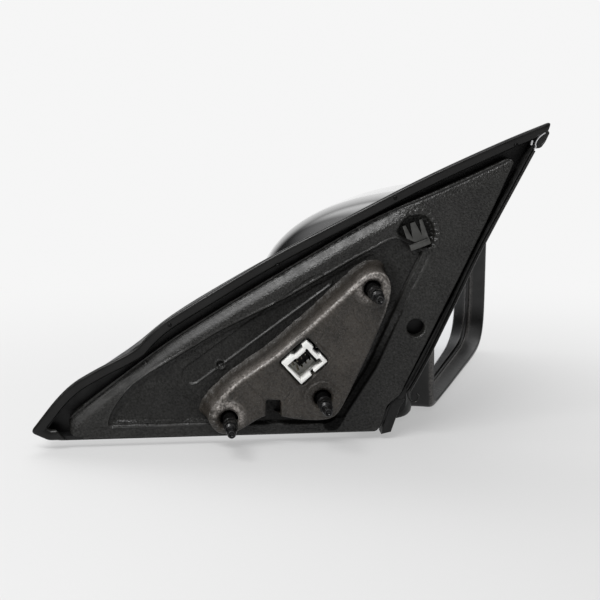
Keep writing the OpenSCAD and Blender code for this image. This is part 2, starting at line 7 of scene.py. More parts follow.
import bmesh
import bpy
import numpy as np
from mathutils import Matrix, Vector


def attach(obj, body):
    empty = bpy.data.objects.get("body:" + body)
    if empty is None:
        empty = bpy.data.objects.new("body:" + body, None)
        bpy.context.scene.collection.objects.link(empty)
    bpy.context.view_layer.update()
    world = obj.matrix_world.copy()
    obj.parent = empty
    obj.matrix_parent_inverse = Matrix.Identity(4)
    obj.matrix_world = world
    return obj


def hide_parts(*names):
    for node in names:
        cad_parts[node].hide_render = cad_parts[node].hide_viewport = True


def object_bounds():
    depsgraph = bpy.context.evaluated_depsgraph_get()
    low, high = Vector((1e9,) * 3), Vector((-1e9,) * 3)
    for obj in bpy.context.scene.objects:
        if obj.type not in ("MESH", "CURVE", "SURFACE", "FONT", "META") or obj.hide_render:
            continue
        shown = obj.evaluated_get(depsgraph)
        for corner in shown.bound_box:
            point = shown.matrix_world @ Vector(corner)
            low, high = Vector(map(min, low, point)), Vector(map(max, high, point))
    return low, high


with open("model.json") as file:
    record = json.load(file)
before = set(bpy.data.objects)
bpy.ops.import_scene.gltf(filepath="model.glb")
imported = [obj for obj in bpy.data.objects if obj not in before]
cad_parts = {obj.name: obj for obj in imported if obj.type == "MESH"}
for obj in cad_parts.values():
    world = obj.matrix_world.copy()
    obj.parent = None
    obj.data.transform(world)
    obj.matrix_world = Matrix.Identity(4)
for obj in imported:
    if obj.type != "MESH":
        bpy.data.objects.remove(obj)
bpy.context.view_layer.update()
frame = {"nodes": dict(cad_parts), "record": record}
scene = bpy.context.scene
MM = 0.001
WORLD_TOP, WORLD_BACK, WORLD_ROOM, OVERHEAD_SHINE = 0.75, 0.72, 0.03, 1.5
BACKDROP = (0.915, 0.915, 0.918)
FLOOR_SIZE, FLOOR_GAP, FLOOR_GLOW, FAR_GLOW = 30.0, 0.0003, 0.40, 0.92
LIGHT_TARGET = (0.0, 0.0, 0.02)
CAMERA_AT, CAMERA_AIM, LENS, SENSOR = (-73.2, -723.4, 199.8), (-3.5, 0.0, 36.0), 84.0, 36.0
TAU = 2 * math.pi

# ---------------------------------------------------------------- outlines in the door plane (X, Z), mm
STUDS = [(34.3, 42.8), (-42.2, -26.4), (7.9, -16.2)]
FOAM = [(-127.6, -25.7), (-127.0, -37.9), (36.0, -38.6), (40.5, -36.5), (44.4, -23.6), (51.2, -18.6),
        (94.5, 71.6), (110.6, 108.5), (107.1, 110.2), (80.1, 97.7), (38.9, 80.8), (18.2, 69.3),
        (-46.1, 31.8), (-79.5, 10.8)]
POCKET_TOP = [(63.1, 61.6), (47.4, 69.4), (25, 57.9), (-11.9, 36.9), (-46.2, 20.6), (-71.4, 5.7),
              (-84.9, -2.2), (-94.6, -9.2), (-101.7, -17.6), (-106.2, -25.3), (-107.5, -32)]
POCKET_SIDE = [(-107.5, -32), (14, -32.5), (19.3, -23.8), (33.9, -0.8), (47.5, 29.1), (63.1, 61.6)]
SEAL = [(-134.8, -37.9), (-138.4, -37.9), (-148.0, -33.2), (-128.9, -8.8), (-111, 1.4), (-98.4, 7.4), (-90.2, 12.1),
        (-86.1, 17.0), (-78.5, 24.0), (-71.2, 28.9), (-19.1, 60.3), (21.7, 80.5), (60, 100.1),
        (102.8, 119.2), (129.6, 129.6), (126.6, 120.6)]
COVER = [(-143.5, -34.5), (-134, -38.6), (38.8, -38.8), (48.5, -24), (54.2, -19), (123, 117),
         (125, 125.5), (102.8, 117.2), (60, 98.1), (21.7, 78.5), (-19.1, 58.3), (-71.2, 28.5),
         (-90.8, 12.0), (-112, -2.0), (-128, -11.5)]
PAD = [(-54.5, -25.5), (-51.5, -18.5), (-40, -7), (-17, 8.6), (5, 27.8), (22, 43.6), (29.5, 50.6), (36, 52.8),
       (42, 50.5), (44.6, 44), (42.6, 33.5), (33, 10), (18.6, -21), (14.5, -26.6), (8, -28.4), (-5, -27.6),
       (-14, -25.5), (-22.7, -24), (-35.6, -32), (-43, -35), (-50, -33)]
PLUG_AT, PLUG_TURN, PLUG_SIZE = (-2.2, 4.6), math.radians(41.5), (18.4, 15.7)
CLIP_AT, CLIP_TURN = (58.7, 70.4), math.radians(20)
PINS = [(-72.8, 24.2), (-15.3, 55), (46.7, 90.3), (110.7, 117.4)]
LOCATOR, LOCATOR_R = (59.3, 19.2), 4.8
RECESS = [(-61, -10), (14.5, 45), (8, 50.6), (1.6, 47.8), (-66.6, -1.2), (-67.6, -6)]

# ---------------------------------------------------------------- head form, in u, v, n of the rim plane
HEAD_A, HEAD_B, HEAD_D, SWEEP, WALL = 77.5, 63.5, 119.0, math.radians(22.5), 2.6
RIM = np.array([82.0, 47.0, 0.0])
HEAD_ZC, RIM_LEAN, TOP_DROP, SPLIT = 22.5, 0.1, 12.0, -34.0
NEAR_CRISP, NEAR_LEAN, NEAR_SAG = 18.0, 4.5, 2.2  # the head's lower near corner: sharper, set back, lower
AXIS = (48.0, 43.0)
U_DIR = np.array([math.sin(SWEEP), math.cos(SWEEP), 0.0])
N_DIR = np.array([math.cos(SWEEP), -math.sin(SWEEP), 0.0])
V_DIR = np.array([0.0, 0.0, 1.0])


def signed_pow(x, e):
    return np.sign(x) * np.abs(x) ** e


def head_ring(n, w, count):
    """One ring of the head form: depth n from the rim, inset w, as points in the part's axes."""
    turn = (np.arange(count) + 0.5) * TAU / count
    s = max(0.0, -n / (HEAD_D - w))
    a = (HEAD_A - w) * math.sqrt(max(0, 1 - s**3))
    b = (HEAD_B - w) * math.sqrt(max(0, 1 - s**3.2))
    crisp = np.where((turn > TAU / 2) & (turn < TAU * 0.75), NEAR_CRISP * np.sin(2 * turn), 0.0) * (1 - s)
    e = 2 / (6 + crisp - 3.4 * s)
    x, y = signed_pow(np.cos(turn), e), signed_pow(np.sin(turn), e)
    drop = TOP_DROP * (1 + y) / 2 * (1 + x) / 2 * (1 - s)
    u = HEAD_A - 42 * s**1.4 + a * x - RIM_LEAN * b * (1 + y) * (1 - x) / 2
    v = HEAD_ZC - 12 * s**1.3 + b * y - drop - NEAR_SAG * (1 - x) * (1 - y) / 4 * (1 - s) ** 4
    lean = -NEAR_LEAN * (1 - x) / 2 * step(-24, -6, n) if n > -24 else 0.0
    depth = n + lean * np.clip(1 - w / 9, 0, 1) * np.ones(count)
    return RIM + np.outer(u, U_DIR) + np.outer(v, V_DIR) + np.outer(depth, N_DIR)


# ---------------------------------------------------------------- small geometry kit
def unit(v):
    v = np.asarray(v, float)
    return v / np.linalg.norm(v)


def soften(points, r, steps=6, closed=True):
    """Rounds each corner of an outline with a curve that starts at most r from it."""
    p = np.array(points, float)
    k, out = len(p), []
    for i in range(k):
        if not closed and i in (0, k - 1):
            out.append(p[i])
            continue
        a, b, c = p[i - 1], p[i], p[(i + 1) % k]
        ri = r[i] if isinstance(r, (list, tuple)) else r
        s = b + unit(a - b) * min(ri, np.linalg.norm(a - b) * 0.49)
        e = b + unit(c - b) * min(ri, np.linalg.norm(c - b) * 0.49)
        for t in np.linspace(0, 1, steps + 1):
            out.append((1 - t) ** 2 * s + 2 * t * (1 - t) * b + t * t * e)
    return np.array(out)


def offset(points, d, closed=True):
    """Moves each side of an outline to its left by d."""
    p = np.array(points, float)
    k = len(p)
    out = np.zeros_like(p)
    for i in range(k):
        sides = []
        if closed or i > 0:
            sides.append(unit(p[i] - p[i - 1]))
        if closed or i < k - 1:
            sides.append(unit(p[(i + 1) % k] - p[i]))
        normals = [np.array([-s[1], s[0]]) for s in sides]
        if len(normals) == 1:
            out[i] = p[i] + d * normals[0]
        else:
            out[i] = p[i] + d * (normals[0] + normals[1]) / (1 + normals[0] @ normals[1])
    return out


def at_depth(line, y):
    """A door-plane outline as points at one depth."""
    return np.stack([line[:, 0], np.full(len(line), y), line[:, 1]], 1)


def polar(q, centre):
    c = q - np.array(centre)
    return np.arctan2(c[:, 1], c[:, 0]), np.linalg.norm(c, axis=1)


def even(points, step, closed=True):
    """Points of a path, evenly spaced along it."""
    p = np.array(points, float)
    if closed:
        p = np.vstack([p, p[:1]])
    along = np.concatenate([[0], np.cumsum(np.linalg.norm(np.diff(p, axis=0), axis=1))])
    n = max(3, int(round(along[-1] / step)))
    t = np.linspace(0, along[-1], n + 1)
    if closed:
        t = t[:-1]
    return np.stack([np.interp(t, along, p[:, i]) for i in range(p.shape[1])], 1)


def near(q, path, closed=False):
    """Distance from each point of q to a path, the nearest point, the length along and the side."""
    p = np.array(path, float)
    a = p if closed else p[:-1]
    b = np.roll(p, -1, 0) if closed else p[1:]
    best = np.full(len(q), 1e9)
    spot = np.zeros_like(q)
    along = np.zeros(len(q))
    run = 0.0
    for s, e in zip(a, b):
        d = e - s
        size = float(d @ d)
        if size < 1e-12:
            continue
        t = np.clip(((q - s) @ d) / size, 0, 1)
        f = s + t[:, None] * d
        dist = np.linalg.norm(q - f, axis=1)
        m = dist < best
        best[m] = dist[m]
        spot[m] = f[m]
        along[m] = run + t[m] * math.sqrt(size)
        run += math.sqrt(size)
    return best, spot, along


def within(q, outline):
    p = np.array(outline, float)
    inside = np.zeros(len(q), bool)
    for s, e in zip(p, np.roll(p, -1, 0)):
        hit = (s[1] > q[:, 1]) != (e[1] > q[:, 1])
        x = (e[0] - s[0]) * (q[:, 1] - s[1]) / ((e[1] - s[1]) or 1e-12) + s[0]
        inside ^= hit & (q[:, 0] < x)
    return inside


def signed(q, outline):
    """Distance to an outline, positive inside it, and the nearest point."""
    d, spot, along = near(q, outline, True)
    return np.where(within(q, outline), d, -d), spot, along


def step(a, b, x):
    t = np.clip((x - a) / (b - a), 0, 1)
    return t * t * (3 - 2 * t)


def bump1(x, width):
    return np.exp(-((x / width) ** 2))


def hash_noise(q, scale, seed=0):
    """Smooth value noise from -1 to 1 on points of any dimension 2, with the given cell size."""
    p = q / scale
    i = np.floor(p).astype(np.int64)
    f = p - i
    f = f * f * (3 - 2 * f)

    def h(ix, iy):
        v = (ix * 374761393 + iy * 668265263 + seed * 1442695041) & 0x7FFFFFFF
        v = ((v ^ (v >> 13)) * 1274126177) & 0x7FFFFFFF
        return ((v ^ (v >> 16)) & 0xFFFF) / 32767.5 - 1

    a, b = h(i[:, 0], i[:, 1]), h(i[:, 0] + 1, i[:, 1])
    c, d = h(i[:, 0], i[:, 1] + 1), h(i[:, 0] + 1, i[:, 1] + 1)
    return (a * (1 - f[:, 0]) + b * f[:, 0]) * (1 - f[:, 1]) + (c * (1 - f[:, 0]) + d * f[:, 0]) * f[:, 1]


def build(name, verts, faces, body, slot, replaces=(), sharp=35, attributes=None):
    """A mesh piece from millimetre points, riding on a CAD body, with its slot's material."""
    me = bpy.data.meshes.new(name)
    me.from_pydata((np.asarray(verts, float) * MM).tolist(), [], [list(map(int, f)) for f in faces])
    me.validate()
    ob = bpy.data.objects.new(name, me)
    scene.collection.objects.link(ob)
    bm = bmesh.new()
    bm.from_mesh(me)
    if attributes is None:
        bmesh.ops.remove_doubles(bm, verts=bm.verts, dist=1e-7)
    bmesh.ops.recalc_face_normals(bm, faces=bm.faces)
    bm.to_mesh(me)
    bm.free()
    me.shade_smooth()
    if sharp:
        me.set_sharp_from_angle(angle=math.radians(sharp))
    for key, values in (attributes or {}).items():
        if len(me.vertices) == len(values):
            me.attributes.new(key, "FLOAT", "POINT").data.foreach_set("value", np.asarray(values, np.float32))
    dress(ob, slot)
    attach(ob, body)
    if replaces:
        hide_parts(*replaces)
    return ob


def dress(ob, slot):
    ob.data.materials.clear()
    ob.data.materials.append(MATERIALS[slot])


def loft(rings, closed=True, wrap=False, caps=(False, False)):
    """Faces between rings of equal length."""
    k, m = len(rings[0]), len(rings)
    faces = []
    for j in range(m if wrap else m - 1):
        a, b = j * k, ((j + 1) % m) * k
        for i in range(k if closed else k - 1):
            h = (i + 1) % k
            faces.append((a + i, a + h, b + h, b + i))
    if caps[0]:
        faces.append(tuple(range(k - 1, -1, -1)))
    if caps[1]:
        faces.append(tuple(range((m - 1) * k, m * k)))
    return np.vstack(rings), faces


def sweep_flat(path, profile, smooth=0, steps=6):
    """A strip along a door-plane path. The profile gives (distance to the right, depth) all round."""
    rings = []
    for o, y in profile:
        rings.append(at_depth(soften(offset(path, -o, False), smooth, steps, False), y))
    return loft(list(np.array(rings).transpose(1, 0, 2)), caps=(True, True))


def level_ring(r, z, count=96):
    """A level circle about the fold axis."""
    g = np.arange(count) * TAU / count
    return np.stack([AXIS[0] + r * np.cos(g), AXIS[1] + r * np.sin(g), np.full(count, z)], 1)


def stack(*levels):
    """A closed form through door-plane outlines, each given with its depth."""
    return loft([at_depth(line, y) for line, y in levels], caps=(True, True))


def merge(*parts):
    verts, faces, base = [], [], 0
    for v, f in parts:
        verts.append(np.asarray(v, float))
        faces += [tuple(i + base for i in q) for q in f]
        base += len(v)
    return np.vstack(verts), faces


def turned(profile, centre, count=64):
    """A body of revolution about the line along Y through a door-plane point; profile is (r, y)."""
    g = np.arange(count) * TAU / count
    ring = np.stack([np.cos(g), np.sin(g)], 1)
    return stack(*[(np.array(centre) + r * ring, y) for r, y in profile])


def sheet(region, gap, height, skirt):
    """A grid over the door plane. region(q) gives (signed distance, nearest edge point), height(q, d)
    the depth, and skirt a list of (outward offset, depth) that the edge is pulled through."""
    lo, hi = region.low, region.high
    xs, zs = np.arange(lo[0] - gap, hi[0] + 2 * gap, gap), np.arange(lo[1] - gap, hi[1] + 2 * gap, gap)
    gx, gz = np.meshgrid(xs, zs, indexing="ij")
    q = np.stack([gx.ravel(), gz.ravel()], 1)
    d, spot = region(q)
    snap = np.abs(d) < 0.5 * gap
    q[snap] = spot[snap]
    d[snap] = 0
    keep = d >= 0
    nz = len(zs)
    idx = np.arange(len(q)).reshape(len(xs), nz)
    cells = np.stack([idx[:-1, :-1], idx[:-1, 1:], idx[1:, 1:], idx[1:, :-1]], -1).reshape(-1, 4)
    good = keep[cells]
    full = cells[good.all(1)]
    three = cells[good.sum(1) == 3]
    mask = keep[three]
    tris = three[mask].reshape(-1, 3)
    faces = [tuple(f) for f in full] + [tuple(f) for f in tris]
    used = np.unique(np.array([i for f in faces for i in f]))
    remap = np.full(len(q), -1)
    remap[used] = np.arange(len(used))
    faces = [tuple(int(remap[i]) for i in f) for f in faces]
    q, d, spot = q[used], d[used], spot[used]
    y = height(q, d)
    verts = [np.stack([q[:, 0], y, q[:, 1]], 1)]
    edges = {}
    for f in faces:
        for i in range(len(f)):
            e = (f[i], f[(i + 1) % len(f)])
            edges[tuple(sorted(e))] = None if tuple(sorted(e)) in edges else e
    rim = [e for e in edges.values() if e]
    ids = sorted({i for e in rim for i in e})
    place = {v: n for n, v in enumerate(ids)}
    base = q[ids]
    eps = 0.05
    gxp = region(base + [eps, 0])[0] - region(base - [eps, 0])[0]
    gzp = region(base + [0, eps])[0] - region(base - [0, eps])[0]
    normal = -np.stack([gxp, gzp], 1)
    normal /= np.maximum(np.linalg.norm(normal, axis=1), 1e-9)[:, None]
    count, total = len(ids), len(q)
    previous = ids
    y0 = y[ids]
    for out, depth in skirt:
        o = out(base, normal) if callable(out) else np.full(count, float(out))
        ring = base + normal * o[:, None]
        yy = depth(base, normal, y0) if callable(depth) else np.full(count, float(depth))
        verts.append(np.stack([ring[:, 0], yy, ring[:, 1]], 1))
        current = list(range(total, total + count))
        for a, b in rim:
            faces.append((b if previous is ids else previous[place[b]], a if previous is ids else previous[place[a]],
                          current[place[a]], current[place[b]]))
        previous = current
        total += count
    return np.vstack(verts), faces, len(q)


class Region:
    """Material inside an outline and outside its holes."""

    def __init__(self, outline, holes=()):
        self.outline, self.holes = np.array(outline, float), holes
        self.low, self.high = self.outline.min(0), self.outline.max(0)

    def __call__(self, q):
        d, spot, _ = signed(q, self.outline)
        for hole in self.holes:
            if callable(hole):
                hd, hs = hole(q)
            else:
                hd, hs, _ = signed(q, hole)
                hd = -hd
            m = hd < d
            d = np.where(m, hd, d)
            spot = np.where(m[:, None], hs, spot)
        return d, spot


def round_hole(centre, r):
    c = np.array(centre, float)

    def hole(q):
        v = q - c
        size = np.maximum(np.linalg.norm(v, axis=1), 1e-9)
        return size - r, c + v / size[:, None] * r

    return hole


def place2(at, turn, points):
    """Door-plane points turned and moved into place."""
    c, s = math.cos(turn), math.sin(turn)
    return np.array([(at[0] + x * c - z * s, at[1] + x * s + z * c) for x, z in points])


def turned_square(at, turn, w, h):
    return place2(at, turn, [(-w / 2, -h / 2), (w / 2, -h / 2), (w / 2, h / 2), (-w / 2, h / 2)])


# ---------------------------------------------------------------- materials
def plug(tree, socket, value):
    """Links a socket to another node's output, or sets it."""
    if isinstance(value, bpy.types.NodeSocket):
        tree.links.new(value, socket)
    else:
        socket.default_value = (*value, 1) if isinstance(value, tuple) else value


def ramp_node(tree, value, lo, hi, a, b, smooth=False):
    m = tree.nodes.new("ShaderNodeMapRange")
    if smooth:
        m.interpolation_type = "SMOOTHSTEP"
    for socket, v in zip(m.inputs, (value, lo, hi, a, b)):
        plug(tree, socket, v)
    return m.outputs["Result"]


def sum_node(tree, op, a, b):
    m = tree.nodes.new("ShaderNodeMath")
    m.operation = op
    for socket, v in zip(m.inputs, (a, b)):
        plug(tree, socket, v)
    return m.outputs[0]


def mix_node(tree, fac, a, b):
    m = tree.nodes.new("ShaderNodeMix")
    m.data_type = "RGBA"
    for socket, v in ((m.inputs["Factor"], fac), (m.inputs[6], a), (m.inputs[7], b)):
        plug(tree, socket, v)
    return m.outputs[2]


def material(name, color, rough, metal=0.0, grain=0.6, depth=0.02, style="noise", mottle=0.12, spread=0.08,
             speckle=0.0, wear=0.0, coat=0.0, brushed=None, scratch=0.0, ior=1.5, attribute=False, pebble=0.0,
             dull=False, specular=0.5):
    """A procedural finish: mottled colour, uneven roughness, grain as bump, lighter edges that are partly wear and
    partly painted highlight, and painted light and shade from the pebble grain and the mesh's values. grain and depth
    are millimetres."""
    mat = bpy.data.materials.new(name)
    mat.use_nodes = True
    nt = mat.node_tree
    n, l = nt.nodes, nt.links
    bsdf = n["Principled BSDF"]
    for key, value in (("Metallic", metal), ("IOR", ior), ("Coat Weight", coat), ("Coat Roughness", 0.03),
                       ("Specular IOR Level", specular)):
        bsdf.inputs[key].default_value = value
    at = n.new("ShaderNodeTexCoord")
    space = n.new("ShaderNodeMapping")
    l.new(at.outputs["Object"], space.inputs["Vector"])
    if brushed:
        space.inputs["Scale"].default_value = brushed

    def noise(size, detail=4, vector=None, kind="noise"):
        t = n.new("ShaderNodeTexVoronoi" if kind == "voronoi" else "ShaderNodeTexNoise")
        t.inputs["Scale"].default_value = 1000.0 / size
        if kind != "voronoi":
            t.inputs["Detail"].default_value = detail
        l.new(vector or at.outputs["Object"], t.inputs["Vector"])
        return t.outputs["Distance" if kind == "voronoi" else "Fac"]

    def painted(key):
        """A value that the piece's mesh holds for each point."""
        a = n.new("ShaderNodeAttribute")
        a.attribute_name = key
        return a.outputs["Fac"]

    ramp, math_node, mix = partial(ramp_node, nt), partial(sum_node, nt), partial(mix_node, nt)
    base = tuple(color)
    dark = tuple(c * (1 - mottle) for c in base)
    light = tuple(min(1, c * (1 + mottle) + 0.01 * mottle) for c in base)
    cloud = noise(14, 5)
    out = mix(ramp(cloud, 0.35, 0.65, 0, 1), dark, light)
    fine = noise(grain, 3, space.outputs["Vector"], style)
    if speckle:
        dots = noise(0.55, 2)
        bright = tuple(min(1, c * 3.2 + 0.05) for c in base)
        out = mix(math_node("MULTIPLY", ramp(dots, 0.62, 0.74, 0, 1), speckle), out, bright)
    # lighter edges by pointiness: partly real wear, partly a painted highlight where rounded edges catch the light
    if wear:
        geo = n.new("ShaderNodeNewGeometry")
        edge = ramp(geo.outputs["Pointiness"], 0.52, 0.6, 0, 1)
        rubbed_and_lit_mask = ramp(noise(2.5, 5), 0.4, 0.65, 0.2, 1)
        worn_and_lit = tuple(min(1, c * 2.2 + 0.08) for c in base)
        out = mix(math_node("MULTIPLY", math_node("MULTIPLY", edge, rubbed_and_lit_mask), wear), out, worn_and_lit)
    # pale tone from the mesh's per-point values: painted highlight on ridges and rims, partly real worn patches
    if attribute:
        rubbed_and_lit_mask = ramp(noise(1.1, 5), 0.36, 0.62, 0.15, 1)
        out = mix(math_node("MULTIPLY", painted("wear"), rubbed_and_lit_mask), out, (0.36, 0.335, 0.315))
    if pebble:
        # painted light on the grain: pebble tops painted lighter as highlight, pits painted darker as shade
        lit_tops = ramp(noise(grain, 3, space.outputs["Vector"], style), 0.15, 0.7, pebble, 0.0)
        out = mix(lit_tops, out, tuple(min(1, c * 3.5 + 0.006) for c in base))
        shaded_pits = ramp(noise(grain * 1.7, 2), 0.34, 0.46, pebble, 0.0)
        out = mix(shaded_pits, out, tuple(c * 0.1 for c in base))
        bsdf_level = ramp(noise(grain * 1.3, 2), 0.3, 0.7, specular * (1 - pebble), specular * (1 + pebble))
        l.new(bsdf_level, bsdf.inputs["Specular IOR Level"])
    if dull:
        # painted shade: colour darkened and specular lowered where the mesh's values mark shade
        shade_mask, shine = painted("dull"), painted("gloss")
        out = mix(shade_mask, out, tuple(c * 0.25 for c in base))
        level = math_node("MULTIPLY", bsdf_level, ramp(shade_mask, 0, 1, 1.0, 0.14))
        level = math_node("MULTIPLY", level, ramp(shine, 0, 0.5, 1.0, 0.35))
        level = math_node("ADD", level, math_node("MULTIPLY", shine, 0.34))
        l.new(level, bsdf.inputs["Specular IOR Level"])
    l.new(out, bsdf.inputs["Base Color"])
    r = ramp(noise(9, 6), 0.3, 0.7, max(0.02, rough - spread), min(1, rough + spread))
    if scratch:
        m = n.new("ShaderNodeMapping")
        m.inputs["Scale"].default_value = (1, 1, 14)
        m.inputs["Rotation"].default_value = (0.3, 0.5, 0.2)
        l.new(at.outputs["Object"], m.inputs["Vector"])
        lines = noise(1.6, 2, m.outputs["Vector"])
        r = math_node("ADD", r, ramp(lines, 0.66, 0.72, 0, scratch))
    if dull:
        r = math_node("SUBTRACT", r, math_node("MULTIPLY", shine, 0.02))
    l.new(r, bsdf.inputs["Roughness"])
    if depth:
        b = n.new("ShaderNodeBump")
        b.inputs["Strength"].default_value = 1.0
        b.inputs["Distance"].default_value = depth * MM
        wide = noise(grain * 4.5, 3)
        height = math_node("ADD", fine, math_node("MULTIPLY", wide, 1.2))
        if dull:
            l.new(ramp(shine, 0, 0.4, 1.0, 0.09), b.inputs["Strength"])
        l.new(height, b.inputs["Height"])
        l.new(b.outputs["Normal"], bsdf.inputs["Normal"])
    return mat


FINISHES = {  # colour, roughness, metal, grain and bump depth in mm, then what differs from the usual
    "die_cast": ((0.34, 0.33, 0.32), 0.5, 0.85, 0.9, 0.05, dict(mottle=0.2, wear=0.4)),
    "bracket_skin": ((0.0185, 0.0156, 0.0125), 0.40, 0.0, 0.8, 0.32,
                     dict(mottle=0.45, spread=0.14, pebble=0.35, dull=True, specular=0.45, speckle=0.75,
                          attribute=True)),
    "gasket_foam": ((0.0075, 0.0073, 0.0066), 0.40, 0.0, 0.95, 0.24,
                    dict(style="voronoi", mottle=0.25, spread=0.1, speckle=0.1, wear=0.4, pebble=0.4, dull=True,
                         specular=0.38)),
    "cover_plastic": ((0.003, 0.003, 0.003), 0.42, 0.0, 0.35, 0.014,
                      dict(style="voronoi", wear=0.1, specular=0.28)),
    "seal_rubber": ((0.003, 0.0029, 0.0027), 0.34, 0.0, 1.2, 0.012,
                    dict(mottle=0.2, spread=0.08, specular=0.28, wear=0.12)),
    "black_steel": ((0.0025, 0.0025, 0.0027), 0.24, 0.0, 0.5, 0.003,
                    dict(wear=0.15, mottle=0.1, spread=0.04, specular=0.3)),
    "bright_steel": ((0.55, 0.55, 0.56), 0.28, 1.0, 0.5, 0.006, dict(brushed=(1, 8, 1), wear=0.2)),
    "collar_nylon": ((0.0025, 0.0025, 0.0025), 0.26, 0.0, 0.5, 0.004,
                     dict(wear=0.1, mottle=0.1, spread=0.05, specular=0.10)),
    "connector_white": ((0.72, 0.72, 0.70), 0.42, 0.0, 1.5, 0.012, dict(mottle=0.05, spread=0.06)),
    "contact_metal": ((0.62, 0.58, 0.48), 0.25, 1.0, 0.4, 0.005, dict(mottle=0.15)),
    "cable_black": ((0.012, 0.012, 0.012), 0.55, 0.0, 1.0, 0.05, dict(brushed=(1, 1, 3))),
    "detent_plastic": ((0.62, 0.58, 0.48), 0.4, 0.0, 0.8, 0.008, dict()),
    "frame_plastic": ((0.022, 0.022, 0.022), 0.5, 0.0, 0.5, 0.02, dict(wear=0.15)),
    "gloss_black": ((0.004, 0.004, 0.0043), 0.14, 0.0, 2.2, 0.0012,
                    dict(mottle=0.1, spread=0.05, coat=1.0, scratch=0.05, ior=2.1)),
    "bezel_plastic": ((0.007, 0.007, 0.0068), 0.34, 0.0, 0.38, 0.012,
                      dict(style="voronoi", mottle=0.2, spread=0.08, wear=0.35, attribute=True)),
    "actuator_plastic": ((0.03, 0.03, 0.03), 0.45, 0.0, 0.6, 0.015, dict(wear=0.1)),
    "gear_plastic": ((0.74, 0.73, 0.68), 0.38, 0.0, 0.9, 0.008, dict(mottle=0.05)),
    "worm_brass": ((0.62, 0.45, 0.18), 0.26, 1.0, 0.4, 0.006, dict(brushed=(6, 1, 1))),
    "heater_film": ((0.09, 0.05, 0.02), 0.4, 0.0, 0.8, 0.01, dict()),
    "clip_finish": ((0.055, 0.055, 0.052), 0.34, 0.6, 0.5, 0.01, dict(mottle=0.2, wear=0.3)),
    "mirror_face": ((0.93, 0.945, 0.97), 0.03, 1.0, 30, 0.0008, dict(mottle=0.01, spread=0.015)),
}
MATERIALS = {name: material(name, *values[:-1], **values[-1]) for name, values in FINISHES.items()}

# ---------------------------------------------------------------- CAD nodes that are shown as packed
slot_of = {s["node"]: s["material_slot"] for s in frame["record"]["subparts"]}
for node, ob in frame["nodes"].items():
    dress(ob, slot_of[node])
    ob.data.shade_smooth()
    ob.data.set_sharp_from_angle(angle=math.radians(30))

# ---------------------------------------------------------------- foam gasket
foam_line = soften(FOAM, [3.5, 5.5, 2, 2, 2.5, 3, 40, 1.5, 2, 30, 20, 20, 40, 40], 6)
top_path = soften([(-132.5, -30.5), (-79.5, 10.8), (-46.1, 31.8), (18.2, 69.3), (38.9, 80.8), (80.1, 97.7),
                   (107.1, 110.2)], 30, 6, False)
side_path = soften(POCKET_SIDE[1:], 5, 5, False)
upper_path = soften(POCKET_TOP, 6, 5, False)
pocket_line = soften(POCKET_TOP[:-1] + POCKET_SIDE[:-1], 4, 5)
recess_line = soften(RECESS, 3.2, 5)
ridge_path = soften([(-50, -24), (-46.5, -14.5), (-36.5, -5.0), (-17, 7.6), (5, 26.6), (24, 44), (32, 49.5), (38, 50),
                     (42.5, 45), (42.4, 38)], 6, 5, False)


